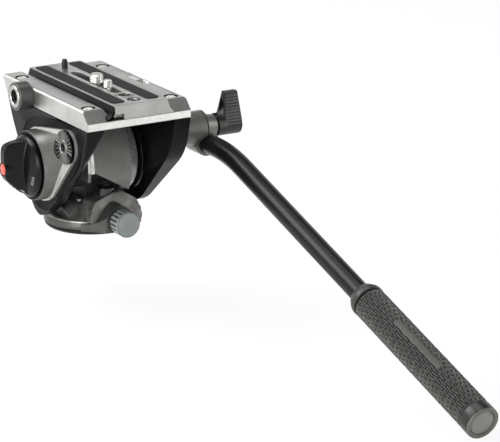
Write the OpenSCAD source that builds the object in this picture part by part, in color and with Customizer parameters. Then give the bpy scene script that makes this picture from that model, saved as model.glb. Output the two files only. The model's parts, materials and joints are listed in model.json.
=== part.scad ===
// Fluid video head: a panning base, a tilting bridge with a sliding camera plate, and a bent pan bar.
// Millimetres. The origin is the mouth of the tripod thread, +Z is up, +Y is where the lens points.

/* [Base] */
// Widest radius of the turning base ring
base_r = 35; // [34.5:0.5:37]
// Height of the fixed foot disc
foot_h = 2.8; // [2.5:0.1:3.2]
// Bore radius of the tripod thread
tripod_r = 4.76; // [4.7:0.01:4.85]
// Radius of the pan spindle
spindle_r = 11; // [10.6:0.1:11.4]
// Height of the parting line between base ring and shoulder
parting_z = 8.6; // [8.2:0.1:8.8]
// Outer radius of the pan lock knob
pan_knob_r = 9.2; // [8.4:0.1:9.8]
// How far the pan lock knob's face stands from the pan axis
pan_knob_reach = 53.5; // [52:0.5:57]

/* [Tilt] */
// Height of the tilt axis above the foot
axis_z = 48.2; // [47.8:0.1:48.8]
// Outer radius of the drum cover about the tilt axis
drum_r = 37; // [36:0.25:37.75]
// Radius of the tilt axle
axle_r = 7; // [6.6:0.1:7.4]
// Inner face of each cheek, from the middle plane
cheek_in = 27.5; // [27:0.25:28]
// Outer face of each cheek, from the middle plane
cheek_out = 40; // [39:0.25:40.5]
// Radius of the tilt lock knob
tilt_knob_r = 22; // [20:0.5:23]
// How far the tilt lock knob stands out from the middle plane
tilt_knob_reach = 70; // [67:0.2:72]

/* [Bridge] */
// Underside of the bridge floor
floor_z = 87.2; // [87:0.1:88]
// Thickness of the bridge floor
floor_t = 5.3; // [5:0.1:6]
// Half width of the bridge
bridge_hw = 40; // [40:0.25:41]
// Height of the rails above the floor
rail_h = 7.7; // [7.4:0.1:8.4]
// Rear end of the bridge floor
bridge_rear = 71.5; // [70:0.5:74]
// Front end of the rails
bridge_front = 58; // [56:0.5:60]
// Radius of the accessory socket's threaded bore
socket_r = 4.76; // [4.7:0.01:4.85]

/* [Camera plate] */
// Half width of the plate at its foot
plate_hw = 25; // [24.6:0.1:25.2]
// Half width of the plate at its top
plate_top_hw = 20.2; // [19.6:0.1:20.8]
// Thickness of the plate
plate_t = 10; // [9.6:0.1:11]
// Length of the plate
plate_len = 128.5; // [124:0.5:132]
// Thread radius of the large camera screw
screw_big_r = 4.76; // [4.6:0.01:4.85]
// Thread radius of the small camera screw
screw_small_r = 3.17; // [3:0.01:3.25]

/* [Pan bar] */
// Middle plane of the pan bar
bar_x = 66; // [65.5:0.25:67]
// Outer radius of the tube
tube_r = 7; // [6.6:0.1:7.2]
// Angle by which the tube is bent down
bar_drop = 18; // [14:0.5:22]
// Straight length of tube between bend and grip
tube_len = 156; // [130:1:180]
// Radius of the grip
grip_r = 12.5; // [11.5:0.1:13.5]
// Length of the grip with its collar and cap
grip_len = 144; // [120:1:160]
// Radius of the clamp at the rosette
clamp_r = 11.9; // [11.8:0.1:12.6]

/* [Hidden] */
$fn = 64;
// Space between pieces that turn past each other
gap = 0.4;
// Running clearance of shafts in bores
run = 0.05;

// Fixed base
foot_r = base_r - 2;
foot_edge_r = base_r - 0.6;
flange_r = 15;
flange_h = 1.6;
flange_sink = 0.2;
bush_r = 7.5;
bush_l = 10;
brake_r = 21.4;
hub_top = 13;
hub_in = 17.6;
hub_floor = foot_h + 1.2;
nut_r = 15;
nut_top = 16.2;

// Turning base
ring_z = foot_h + gap;
ring_in = brake_r + 1.2;
ring_top_r = base_r - 0.8;
seat_r = 30.5;
seat_z = 9.8;
web_top = 16;
web_r = seat_r + seat_z - web_top;
web_under = hub_top + gap;
sleeve_r = hub_in - gap;
sleeve_z = hub_floor + gap;
bearing_r = 14;
bearing_top = 12.6;
nut_pocket_r = nut_r + 0.6;
nut_room = 1;
side_flat = cheek_in - 0.6;
side_flat_z = 9.4;
lock_z = 11;
lock_bump_h = 13.6;
lock_bump_hw = 20;
lock_boss_y = 41.5;
lock_boss_hw = 11.5;
lock_stud_r = 3;

// Shoulder and level
cover_fit = 0.1;
cover_lip = 0.9;
cover_top = 20.2;
cover_in = 21.5;
level_x = -0.5;
level_y = -21;
level_r = 6.2;
level_top = 31;
level_seat = 23;
vial_r = 5;
hump_front = -13.8;
hump_rear = -28.4;
hump_foot = -33.6;
hump_left = -19;
hump_right = 20.3;
hump_crest = 5.5;
hump_top = 29;

// Pedestal and drum
tube_out = 20;
drum_left = -19.5;
drum_right = 12;
skirt_slope = 30.5;
skirt_front = 21;
cavity_r = 16.4;
tilt_bearing_r = 11;
tilt_bearing_l = 6.3;
foot_x = 20.4;
foot_y = 13.6;
foot_top = 20;
foot_screw_x = 15.4;
foot_screw_y = 9.6;
foot_screw_r = 1.6;
column_x = 12.2;
column_y = 12;
foot_rim = cover_in - 0.3;
shell_t = 2.4;
shell_end_t = 2;
flange_disc_r = drum_r - 1;
flange_disc_t = 2.3;
flange_low = 21;
cb_r = 28;
cb_step_r = 26.5;
cb_cavity_r = 24.8;
cb_wall = drum_right + 6;
cb_step_x = drum_right + 1;
spring_pitch = 1.6;
spring_t = 0.8;
spring_r0 = 9;
spring_half_turns = 18;
spring_x0 = drum_right + 1.2;
spring_w = 4;

// Cheeks
cheek_top_rebate = 0.6;
cheek_rear = -71;
cheek_rear_y = -64.3;
cheek_rear_z = 60.4;
cheek_tip_y = 4;
cheek_tip_z = 8.8;
cheek_tip_rear = 13;
cheek_tip_front = 11;
cheek_tip_h = 5.6;
cheek_front_y = 34;
cheek_front_z = 56;
cheek_neck_y = 43.5;
cheek_neck_z = 71;
cheek_front = 50.2;
cheek_screw_d = 18;
cheek_cut = 6.5;
cheek_cut_turn = 24.8;
cheek_cut_twist = 5.8;
cover_sink = 3;
lens_big_r = 26.2;
lens_small_r = 11.4;
lens_fit = 0.3;
dish_w = 7;
dish_d = 1.6;
rosette_y = -42;
rosette_z = 70.2;
rosette_r = 11.8;
rosette_hub_r = 5.9;
rosette_t = 2;
rosette_teeth = 24;
tooth_h = 0.9;
stud_r = 3;
rosette_bush_l = 8;
lens_t = 4;
lens_face = cheek_out - cover_sink + lens_t;
cone_face = 49.6;
cone_r = tilt_knob_r + 2.6;
cone_big_r = lens_big_r - 1.2;
cone_tail_r = 9.6;
cone_tail_y = rosette_y + 9;
cone_tail_z = rosette_z - 2.2;
knob_pocket_r = tilt_knob_r + 0.7;
knob_pocket_d = 2;
tilt_screw_r = 3;
insert_r = 4.5;
right_disc_r = 27;
right_disc_t = 2.6;
cb_right = cheek_in - right_disc_t - 1.4;

// Bridge and plate lock
floor_top = floor_z + floor_t;
rail_top = floor_top + rail_h;
rail_slope = 7.5;
rail_in_left = 25;
rail_in_right = 26.4;
lip_x = plate_hw - 2.2;
screw_x = 32.1;
screw_rear = -57.5;
screw_front = 43;
screw_head_r = 4.1;
screw_head_h = 4;
screw_r = 2.5;
screw_well_r = 5;
screw_well_d = 5.2;
socket_y = 19;
socket_z = floor_z + 6.4;
socket_boss_r = 10;
socket_ring_r = 8;
socket_reach = 10;
strip_rear = -46;
strip_front = 35;
strip_w = 5;
jaw_len = 60;
jaw_rear = -30;
jaw_w = 6;
jaw_travel = 2.5;
jaw_x1 = lip_x + jaw_w;
jaw_gap = 0.3;
jaw_lid = 1.2;
lever_y = 22;
lever_z = floor_top + 3.2;
lever_stud_r = 2.2;
lever_hub_r = 3.6;
lever_len = 22;
button_x = jaw_x1 + jaw_travel + gap + 0.5;
button_w = 5.4;
button_rear = -18;
button_front = 8;
button_under = floor_top + 2.6;

// Camera plate
plate_z = floor_top + 0.9;
plate_top = plate_z + plate_t;
plate_rear = -74;
plate_front = plate_rear + plate_len;
foot_edge = 1;
dove_h = 2.6;
dove_hw = plate_hw - 2.6;
slide_gap = 0.3;
slot_hw = 3.5;
slot_rear = -42;
slot_front = 27;
track_hw = 8;
track_h = 5.4;
pad_in = 8.2;
pad_w = 10;
pad_sink = 1;
pad_t = 1.5;
pad_rear = -67;
pad_front = 51;
eyelet_y = -49.5;
eyelet_r = 6;
eyelet_bore = 4.9;
end_screw_y = -63;
end_screw_r = 4;
screw_big_y = -9;
screw_small_y = -25.5;
screw_head_big_r = 7;
screw_head_small_r = 6;
neck_r = 2.9;
pin_y = 39.5;
pin_r = 2.2;
pin_body_r = 3;

// Pan bar
tube_wall = 1.3;
tube_drop = clamp_r - 1.3;
tube_z = rosette_z - tube_drop;
bend_r = 120;
bend_start = -64;
// The bend is a hair slimmer than the straights that lap into it
bend_slim = 0.02;
bend_lap = 0.5;
bend_end_y = bend_start - bend_r * sin(bar_drop);
bend_end_z = tube_z - bend_r * (1 - cos(bar_drop));
clamp_x0 = cheek_out + rosette_t + 2 * tooth_h + gap;
split_gap = 0.8;
split_x = bar_x - 2.2;
cap_x0 = split_x + split_gap;
cap_x1 = 74.2;
socket_out_r = tube_r + 2.2;
socket_mouth = -49;
socket_back = -31;
tube_back = socket_back - 4;
wing_x0 = cap_x1 + 1.4;
wing_x1 = 93.8;
wing_hub_r = 8.2;
wing_up = 23.2;
wing_paddle_x0 = 80.7;
wing_tip_x0 = 83.4;
wing_tip_x1 = 92.6;
wing_tip_r = 1.6;
wing_tip_y = 1.8;
collar_l = 9;
cap_l = 9;
cap_disc_r = 8.6;

// Cylinder along X between two positions
module xcyl(r, x0, x1) {
  translate([x0, 0, 0])
    rotate([0, 90, 0])
      cylinder(r = r, h = x1 - x0);
}

// Cylinder along Y between two positions
module ycyl(r, y0, y1) {
  translate([0, y0, 0])
    rotate([-90, 0, 0])
      cylinder(r = r, h = y1 - y0);
}

// Cylinder along Z between two heights
module zcyl(r, z0, z1) {
  translate([0, 0, z0])
    cylinder(r = r, h = z1 - z0);
}

// Flat outline in Y and Z, thick along X
module yz_prism(x0, x1) {
  translate([x0, 0, 0])
    rotate([90, 0, 90])
      linear_extrude(x1 - x0)
        children();
}

// Flat outline in X and Z, long along Y
module xz_prism(y0, y1) {
  translate([0, y1, 0])
    rotate([90, 0, 0])
      linear_extrude(y1 - y0)
        children();
}

// Outline of radius and position along X, turned about the X axis
module x_turned() {
  rotate([0, 90, 0])
    rotate_extrude()
      children();
}

// Outline of radius and position along -Y, turned about the Y axis
module y_turned() {
  rotate([90, 0, 0])
    rotate_extrude()
      children();
}

// Moves to the tilt axis
module at_axis() {
  translate([0, 0, axis_z])
    children();
}

// Moves to the rosette axis
module at_rosette() {
  translate([0, rosette_y, rosette_z])
    children();
}

// Moves to the end of the tube's bend, with -Y along the bar
module along_bar() {
  translate([bar_x, bend_end_y, bend_end_z])
    rotate([bar_drop, 0, 0])
      children();
}

// Points of an outline whose corners are rounded by a parabola over the given distance
function rounded(p, d, n = 6) = [
  for (i = [0 : len(p) - 1])
    let (
      b = p[i],
      a = p[(i + len(p) - 1) % len(p)],
      c = p[(i + 1) % len(p)],
      s = b + d[i] * (a - b) / norm(a - b),
      e = b + d[i] * (c - b) / norm(c - b)
    )
    each d[i] == 0 ? [b] : [
      for (k = [0 : n])
        let (t = k / n)
        (1 - t) * (1 - t) * s + 2 * t * (1 - t) * b + t * t * e
    ]
];

// Outline round two circles of different radius, joined by their common tangents
function pear(c1, r1, c2, r2, n = 28) =
  let (
    v = c2 - c1,
    lean = atan2(v[1], v[0]),
    open = acos((r1 - r2) / norm(v))
  )
  concat(
    [for (k = [0 : n]) let (a = lean + open + (360 - 2 * open) * k / n) c1 + r1 * [cos(a), sin(a)]],
    [for (k = [0 : n]) let (a = lean - open + 2 * open * k / n) c2 + r2 * [cos(a), sin(a)]]
  );

// Fixed foot disc with the brake hub of the pan lock
module base_disc() {
  color("#2a2a29")
    rotate_extrude()
      polygon([
        [spindle_r, flange_h], [flange_r, flange_h], [flange_r, 0], [foot_r, 0],
        [foot_edge_r, foot_edge_r - foot_r], [foot_edge_r, foot_h], [brake_r, foot_h],
        [brake_r, hub_top], [hub_in, hub_top], [hub_in, hub_floor], [spindle_r, hub_floor]
      ]);
}

// Hollow steel spindle on which the head pans
module pan_spindle() {
  color("#9a9a98")
    rotate_extrude()
      polygon([
        [bush_r, flange_sink], [flange_r, flange_sink], [flange_r, flange_h], [spindle_r, flange_h],
        [spindle_r, nut_top], [bush_r, nut_top]
      ]);
}

// Threaded bush for the tripod's stud
module tripod_thread_bush() {
  color("#b08d4a")
    difference() {
      zcyl(bush_r, 0, bush_l);
      zcyl(tripod_r, -1, bush_l + 1);
    }
}

// Round nut that keeps the turning base on the spindle
module spindle_nut() {
  nut_z = bearing_top + 0.3;
  slot_w = 3;
  slot_d = 2;
  color("#8a8a88")
    difference() {
      zcyl(nut_r, nut_z, nut_top);
      zcyl(spindle_r, nut_z - 1, nut_top + 1);
      for (a = [0 : 90 : 270])
        rotate([0, 0, a])
          translate([nut_r - slot_d, -slot_w / 2, nut_z - 1])
            cube([slot_d + 1, slot_w, nut_top - nut_z + 2]);
    }
}

// Side flats that let the cheeks swing past the base
module side_flats(z0) {
  for (s = [-1, 1])
    translate([s > 0 ? side_flat : -side_flat - base_r, -base_r - 10, z0])
      cube([base_r, 2 * base_r + 20, 2 * web_top]);
}

// Boss of the pan lock: a smooth bump over the parting line that narrows towards the knob
module lock_boss(grow, inner_y) {
  steps = 28;
  hw = lock_bump_hw + grow;
  foot_hw = 24 + grow;
  bend_y = -33;
  bend_hw = 17 + grow;
  intersection() {
    xz_prism(-lock_boss_y - grow, inner_y)
      polygon(concat(
        [[foot_hw, parting_z], [foot_hw, ring_z], [-foot_hw, ring_z], [-foot_hw, parting_z]],
        [for (k = [0 : steps])
          [hw * (2 * k / steps - 1), parting_z + (lock_bump_h + grow) * (1 - cos(360 * k / steps)) / 2]]));
    translate([0, 0, ring_z])
      linear_extrude(2 * lock_bump_h)
        polygon(rounded(
          [[-foot_hw, inner_y], [-foot_hw, -seat_r + 3], [-bend_hw, bend_y],
            [-lock_boss_hw - grow, -lock_boss_y - grow], [lock_boss_hw + grow, -lock_boss_y - grow],
            [bend_hw, bend_y], [foot_hw, -seat_r + 3], [foot_hw, inner_y]],
          [0, 0, 4, 2, 2, 4, 0, 0]));
  }
}

// Turning base ring with the boss of the pan lock
module base_housing() {
  edge = 0.7;
  edge_top = 5.4;
  color("#33332f")
    difference() {
      union() {
        rotate_extrude()
          polygon([
            [ring_in, ring_z], [base_r - edge, ring_z], [base_r, ring_z + edge], [base_r, edge_top],
            [ring_top_r, parting_z], [seat_r, parting_z], [seat_r, seat_z], [web_r, web_top],
            [nut_pocket_r, web_top], [nut_pocket_r, bearing_top], [bearing_r, bearing_top],
            [bearing_r, sleeve_z], [sleeve_r, sleeve_z], [sleeve_r, web_under], [ring_in, web_under]
          ]);
        lock_boss(0, -seat_r + 3);
      }
      side_flats(side_flat_z - 0.4);
      translate([0, 0, lock_z])
        ycyl(lock_stud_r + run, -lock_boss_y - 1, -brake_r);
      for (x = [-foot_screw_x, foot_screw_x])
        for (y = [-foot_screw_y, foot_screw_y])
          translate([x, y, 0])
            zcyl(foot_screw_r, web_under - 1, web_top + 1);
    }
}

// Bronze bush between spindle and turning base
module pan_bearing() {
  color("#b58a4c")
    difference() {
      zcyl(bearing_r, sleeve_z, bearing_top);
      zcyl(spindle_r + run, sleeve_z - 1, bearing_top + 1);
    }
}

// Turned part of the shoulder cover
module shoulder_ring() {
  rim_r = ring_top_r - 0.2;
  rim_z = parting_z + cover_lip;
  rotate_extrude()
    polygon([
      [seat_r + cover_fit, parting_z], [ring_top_r, parting_z], [rim_r, rim_z], [rim_r - 0.8, rim_z],
      [web_r, cover_top - 0.8], [cover_in, cover_top], [cover_in, web_top + cover_fit],
      [web_r + cover_fit, web_top + cover_fit], [seat_r + cover_fit, seat_z + cover_fit]
    ]);
}

// Hump of the shoulder cover, higher on its right
module shoulder_hump() {
  under = cover_fit + 0.2;
  difference() {
    intersection() {
      yz_prism(hump_left, hump_right)
        polygon(rounded(
          [[hump_foot, parting_z + 1], [hump_rear - 1.1, hump_top - 5.6], [hump_rear, hump_top],
            [hump_front, hump_top + 0.8], [hump_front, parting_z + 1]],
          [0, 2.5, 2, 0, 0]));
      xz_prism(-base_r, hump_front)
        polygon(rounded(
          [[hump_left, parting_z], [hump_left + 2.5, hump_top - 9.6], [hump_left + 6, hump_top - 5.6],
            [hump_crest, hump_top + 0.2], [hump_right - 9.3, hump_top - 2.5], [hump_right - 2.3, hump_top - 6.5],
            [hump_right, hump_top - 10], [hump_right, parting_z]],
          [0, 2, 2.5, 2, 2, 2, 2, 0]));
    }
    rotate_extrude()
      polygon([
        [0, 0], [seat_r + under, 0], [seat_r + under, seat_z + under], [web_r + under, web_top + under],
        [nut_pocket_r, web_top + under], [nut_pocket_r, web_top + nut_room], [0, web_top + nut_room]
      ]);
  }
}

// Grey shoulder cover with the hump that holds the level
module shoulder_cover() {
  color("#8f8f8c")
    difference() {
      union() {
        shoulder_ring();
        shoulder_hump();
      }
      side_flats(side_flat_z + 0.1);
      lock_boss(cover_fit, -brake_r);
      translate([level_x, level_y, 0])
        zcyl(level_r, level_seat, level_top + 10);
      at_axis()
        xcyl(cb_r + gap, drum_right - gap, side_flat + 1);
    }
}

// Cup of the bubble level
module level_cup() {
  color("#1c1c1b")
    translate([level_x, level_y, 0])
      difference() {
        zcyl(level_r, level_seat, level_top);
        zcyl(vial_r, level_seat + 2, level_top + 1);
      }
}

// Domed glass vial of the bubble level
module level_vial() {
  z0 = level_seat + 2;
  dome = 0.8;
  color("#9fb04a")
    translate([level_x, level_y, 0])
      rotate_extrude()
        polygon([
          [0, z0], [vial_r, z0], [vial_r, level_top - dome - 0.4], [vial_r * 0.8, level_top - dome / 2 - 0.4],
          [vial_r * 0.45, level_top - 0.5], [0, level_top - 0.4]
        ]);
}

// Casting that carries the tilt axle over the base
module pedestal() {
  color("#4a4a48")
    difference() {
      union() {
        intersection() {
          translate([-foot_x, -foot_y, web_top])
            cube([2 * foot_x, 2 * foot_y, foot_top - web_top]);
          zcyl(foot_rim, web_top, foot_top);
        }
        translate([-column_x, -column_y, web_top])
          cube([column_x + drum_right - shell_end_t, 2 * column_y, axis_z - web_top]);
        at_axis()
          xcyl(tube_out, drum_left, drum_right);
      }
      zcyl(nut_pocket_r, web_top - 1, web_top + nut_room);
      at_axis()
        xcyl(cavity_r, drum_left + tilt_bearing_l, drum_right + 1);
      at_axis()
        xcyl(tilt_bearing_r, drum_left - 1, drum_right);
      for (x = [-foot_screw_x, foot_screw_x])
        for (y = [-foot_screw_y, foot_screw_y])
          translate([x, y, 0])
            zcyl(foot_screw_r, web_top - 1, foot_top + 1);
    }
}

// Four screws that hold the pedestal on the turning base
module pedestal_screws() {
  head_r = 2.9;
  head_h = 1.8;
  key_r = 1.2;
  color("#3a3a3a")
    for (x = [-foot_screw_x, foot_screw_x])
      for (y = [-foot_screw_y, foot_screw_y])
        translate([x, y, 0])
          difference() {
            union() {
              zcyl(foot_screw_r, web_under + 0.1, foot_top);
              zcyl(head_r, foot_top, foot_top + head_h);
            }
            translate([0, 0, foot_top + 0.6])
              cylinder(r = key_r, h = head_h, $fn = 6);
          }
}

// Everything below the slanted lower edge of the drum cover
module below_skirt() {
  translate([drum_left, -2 * drum_r, 0])
    rotate([0, skirt_slope, 0])
      translate([-drum_r, 0, -3 * drum_r])
        cube([4 * drum_r, 2 * drum_r - column_y, 3 * drum_r]);
  translate([-2 * drum_r, -column_y - 1, -skirt_front - 2 * drum_r])
    cube([4 * drum_r, 4 * drum_r, 2 * drum_r]);
}

// Grey shell over the tilt drum, open below
module drum_cover() {
  color("#6e6e6c")
    at_axis()
      difference() {
        xcyl(drum_r, drum_left, drum_right);
        xcyl(drum_r - shell_t, drum_left - 1, drum_right - shell_end_t);
        xcyl(tube_out, drum_left, drum_right + 1);
        below_skirt();
      }
}

// Pale machined flange at the left end of the drum
module end_flange() {
  axle_room = 1.5;
  color("#d8d8d5")
    at_axis()
      difference() {
        xcyl(flange_disc_r, drum_left - flange_disc_t, drum_left);
        xcyl(axle_r + axle_room, drum_left - flange_disc_t - 1, drum_left + 1);
        translate([-drum_r, -drum_r, -2 * drum_r + flange_low - axis_z])
          cube(2 * drum_r);
      }
}

// Glossy drum on the right that houses the counterbalance spring
module counterbalance_drum() {
  color("#17171a")
    at_axis()
      x_turned()
        polygon([
          [tilt_bearing_r, cb_wall], [tilt_bearing_r, cb_right], [cb_cavity_r, cb_right],
          [cb_step_r, cb_right - 1.5], [cb_step_r, cb_step_x], [cb_r, cb_step_x - 0.5], [cb_r, drum_right],
          [tube_out - 2, drum_right], [tube_out - 2, drum_right + 0.6], [cb_cavity_r, drum_right + 0.6],
          [cb_cavity_r, cb_wall]
        ]);
}

// Two bearing rings of the tilt axle
module tilt_bearings() {
  color("#c0c0be")
    at_axis()
      difference() {
        union() {
          xcyl(tilt_bearing_r, drum_left, drum_left + tilt_bearing_l);
          xcyl(tilt_bearing_r, cb_wall, cb_right);
        }
        xcyl(axle_r + run, drum_left - 1, cb_right + 1);
      }
}

// Fixed half of the fluid drag
module drag_cup() {
  back = drum_left + tilt_bearing_l;
  floor_x = back + 1.6;
  color("#7a7a78")
    at_axis()
      x_turned()
        polygon([
          [axle_r + 1.2, back], [cavity_r, back], [cavity_r, 1], [cavity_r - 1.8, 1], [cavity_r - 1.8, floor_x],
          [cavity_r - 3.8, floor_x], [cavity_r - 3.8, -3], [cavity_r - 4.8, -3], [cavity_r - 4.8, floor_x],
          [axle_r + 1.2, floor_x]
        ]);
}

// Turning half of the fluid drag
module drag_rotor() {
  tip = drum_left + tilt_bearing_l + 2.1;
  web = -1.2;
  color("#a8a8a4")
    at_axis()
      x_turned()
        polygon([
          [axle_r, 0.8], [cavity_r - 2.3, 0.8], [cavity_r - 2.3, tip], [cavity_r - 3.3, tip],
          [cavity_r - 3.3, web], [cavity_r - 5.3, web], [cavity_r - 5.3, tip], [axle_r + 2.6, tip],
          [axle_r + 2.6, web], [axle_r, web]
        ]);
}

// Axle that joins the cheeks and turns in the pedestal
module tilt_axle() {
  end_left = lens_face - lens_t;
  color("#8c8c8a")
    at_axis()
      difference() {
        xcyl(axle_r, -end_left, cheek_out - 2);
        xcyl(tilt_screw_r + run, -end_left - 1, -end_left + 12);
      }
}

// Flat spiral spring that balances the camera
module counterbalance_spring() {
  color("#b8b8b6")
    at_axis()
      rotate([0, 90, 0])
        translate([0, 0, spring_x0])
          union() {
            for (k = [0 : spring_half_turns - 1])
              translate([k % 2 == 0 ? 0 : spring_pitch / 2, 0, 0])
                rotate([0, 0, k % 2 == 0 ? 0 : 180])
                  rotate_extrude(angle = 180)
                    translate([spring_r0 + k * spring_pitch / 2, 0])
                      square([spring_t, spring_w]);
            difference() {
              translate([axle_r - 1, -spring_t, 0])
                cube([spring_r0 - axle_r + 1 + spring_t, 2 * spring_t, spring_w]);
              zcyl(axle_r, -1, spring_w + 1);
            }
          }
}

// Shield outline shared by both cheeks
module cheek_outline() {
  top = floor_z - cheek_top_rebate;
  polygon(rounded(
    [[cheek_rear, top], [cheek_rear_y, cheek_rear_z], [cheek_tip_y - cheek_tip_rear, cheek_tip_z + cheek_tip_h],
      [cheek_tip_y, cheek_tip_z], [cheek_tip_y + cheek_tip_front, cheek_tip_z + cheek_tip_h],
      [cheek_front_y, cheek_front_z], [cheek_neck_y, cheek_neck_z], [cheek_front, top]],
    [0, 14, 6, 5.5, 6, 9, 8, 0]));
}

// Land on top of a cheek that the bridge stands on
module cheek_land(x0, x1) {
  inset = 0.8;
  translate([x0 + inset, cheek_rear + 1, floor_z - 2 * cheek_top_rebate])
    cube([x1 - x0 - 2 * inset, cheek_front - cheek_rear - 3, 2 * cheek_top_rebate]);
}

// Holes in a cheek for the two bridge screws of its side
module cheek_screw_holes(s) {
  for (y = [screw_rear, screw_front])
    translate([s * screw_x, y, 0])
      zcyl(screw_r, floor_z - cheek_screw_d, floor_z + 1);
}

// Outline of the cover on the left cheek, or of a recess that is larger all round
function lens_points(d) = pear([0, axis_z], lens_big_r + d, [rosette_y, rosette_z], lens_small_r + d);

// Slanted cut that thins a cheek towards its lower edge, on the inner side
module cheek_cut_off(s) {
  edge_y = cheek_tip_y - cheek_tip_rear;
  edge_z = cheek_tip_z + cheek_tip_h;
  size = 4 * cheek_out;
  translate([s * (cheek_in + cheek_cut), edge_y, edge_z])
    rotate([atan2(edge_z - cheek_rear_z, edge_y - cheek_rear_y), 0, 0])
      rotate([0, -s * cheek_cut_turn, -s * cheek_cut_twist])
        translate([-(1 + s) * size / 2, -size / 2, -size / 2])
          cube(size);
}

// Left cheek with a shallow dish round the cover and the cover's recess
module left_cheek() {
  color("#161616")
    difference() {
      union() {
        yz_prism(-cheek_out, -cheek_in)
          cheek_outline();
        cheek_land(-cheek_out, -cheek_in);
      }
      yz_prism(-cheek_out - 1, -cheek_out + dish_d)
        polygon(lens_points(dish_w));
      yz_prism(-cheek_out - 1, -cheek_out + cover_sink)
        polygon(lens_points(lens_fit));
      at_axis()
        xcyl(axle_r, -cheek_out - 1, -cheek_in + 1);
      at_rosette()
        xcyl(rosette_hub_r, -cheek_out - 1, -cheek_out + cover_sink + rosette_bush_l);
      cheek_screw_holes(-1);
      cheek_cut_off(-1);
    }
}

// Right cheek
module right_cheek() {
  color("#161616")
    difference() {
      union() {
        yz_prism(cheek_in, cheek_out)
          cheek_outline();
        cheek_land(cheek_in, cheek_out);
      }
      at_axis()
        xcyl(axle_r, cheek_in - 1, cheek_out - 2);
      at_rosette()
        xcyl(stud_r + 1, cheek_in + 4, cheek_out + 1);
      cheek_screw_holes(1);
      cheek_cut_off(1);
    }
}

// Pointed oval cover with the cone that leads to the tilt lock knob
module left_cover() {
  cone_foot = 0.2;
  ring_h = 0.6;
  color("#8a8a88")
    difference() {
      union() {
        yz_prism(-lens_face, -lens_face + lens_t)
          polygon(lens_points(0));
        hull() {
          yz_prism(-lens_face - cone_foot, -lens_face)
            polygon(pear([0, axis_z], cone_big_r, [cone_tail_y, cone_tail_z], cone_tail_r));
          at_axis()
            xcyl(cone_r, -cone_face, -cone_face + ring_h);
        }
      }
      at_axis()
        xcyl(knob_pocket_r, -cone_face - 1, -cone_face + knob_pocket_d);
      at_axis()
        xcyl(tilt_screw_r + 1, -cone_face - 1, -lens_face + lens_t + 1);
      at_rosette()
        xcyl(rosette_r + 0.4, -cone_face - 1, -lens_face);
      at_rosette()
        xcyl(rosette_hub_r, -cone_face - 1, -lens_face + lens_t + 1);
    }
}

// Ring of radial teeth, standing on the plane of zero and facing up
module tooth_ring(r_in) {
  w = 3.14159 * rosette_r / rosette_teeth;
  difference() {
    union() {
      zcyl(rosette_r, 0, rosette_t);
      intersection() {
        zcyl(rosette_r, 0, rosette_t + tooth_h);
        for (k = [0 : rosette_teeth / 2 - 1])
          rotate([0, 0, k * 360 / rosette_teeth])
            xz_prism(-rosette_r, rosette_r)
              polygon([[-w / 2, rosette_t - 0.1], [w / 2, rosette_t - 0.1], [0.3, rosette_t + tooth_h],
                [-0.3, rosette_t + tooth_h]]);
      }
    }
    zcyl(r_in, -1, rosette_t + tooth_h + 1);
  }
}

// Toothed rosette on the left cheek
module left_rosette() {
  color("#5a5a58")
    at_rosette()
      translate([-lens_face, 0, 0])
        rotate([0, -90, 0])
          tooth_ring(rosette_hub_r);
}

// Threaded hub in the middle of the left rosette
module left_rosette_bush() {
  inner = cheek_out - cover_sink - rosette_bush_l;
  color("#2c2c2a")
    at_rosette()
      difference() {
        xcyl(rosette_hub_r, -lens_face - rosette_t - tooth_h - 0.6, -inner);
        xcyl(stud_r + run, -lens_face - rosette_t - tooth_h - 2, -inner - 2);
      }
}

// Toothed rosette on the right cheek, threaded for the clamp stud
module right_rosette() {
  spigot_l = 8;
  color("#5a5a58")
    at_rosette()
      difference() {
        union() {
          translate([cheek_out, 0, 0])
            rotate([0, 90, 0])
              tooth_ring(stud_r + run);
          xcyl(stud_r + 1, cheek_out - spigot_l, cheek_out + 1);
        }
        xcyl(stud_r + run, cheek_out - spigot_l - 1, cheek_out + 2);
      }
}

// Black disc on the inner side of the right cheek
module right_disc_cover() {
  groove_in = 16;
  groove_out = 23;
  groove_d = 1;
  dimple_y = (groove_in + groove_out) / 2;
  dimple_r = 2;
  face = cheek_in - right_disc_t;
  color("#0e0e0e")
    at_axis()
      difference() {
        x_turned()
          polygon([
            [axle_r, cheek_in], [axle_r, face], [groove_in, face],
            [groove_in + groove_d, face + groove_d], [groove_out - groove_d, face + groove_d],
            [groove_out, face], [right_disc_r - groove_d, face],
            [right_disc_r, face + groove_d], [right_disc_r, cheek_in]
          ]);
        for (a = [20 : 60 : 320])
          rotate([a, 0, 0])
            translate([0, dimple_y, 0])
              xcyl(dimple_r, face - 1, cheek_in - 0.6);
      }
}

// Side outline of the bridge with its sloped ends
module bridge_side() {
  front_low = 7.6;
  polygon([
    [-bridge_rear, floor_z], [-bridge_rear, floor_top], [-bridge_rear + rail_slope, rail_top],
    [bridge_front, rail_top], [bridge_front - front_low, floor_z]
  ]);
}

// Cross outline of the bridge
module bridge_cross() {
  edge = 1.2;
  polygon([
    [-bridge_hw, floor_z], [bridge_hw, floor_z], [bridge_hw, rail_top - edge], [bridge_hw - edge, rail_top],
    [rail_in_right, rail_top], [rail_in_right, floor_top], [-plate_hw - slide_gap, floor_top],
    [-plate_hw - slide_gap, plate_z + foot_edge + slide_gap],
    [-lip_x, plate_z + foot_edge + slide_gap + plate_hw - lip_x],
    [-rail_in_left, rail_top], [-bridge_hw + edge, rail_top], [-bridge_hw, rail_top - edge]
  ]);
}

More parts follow.
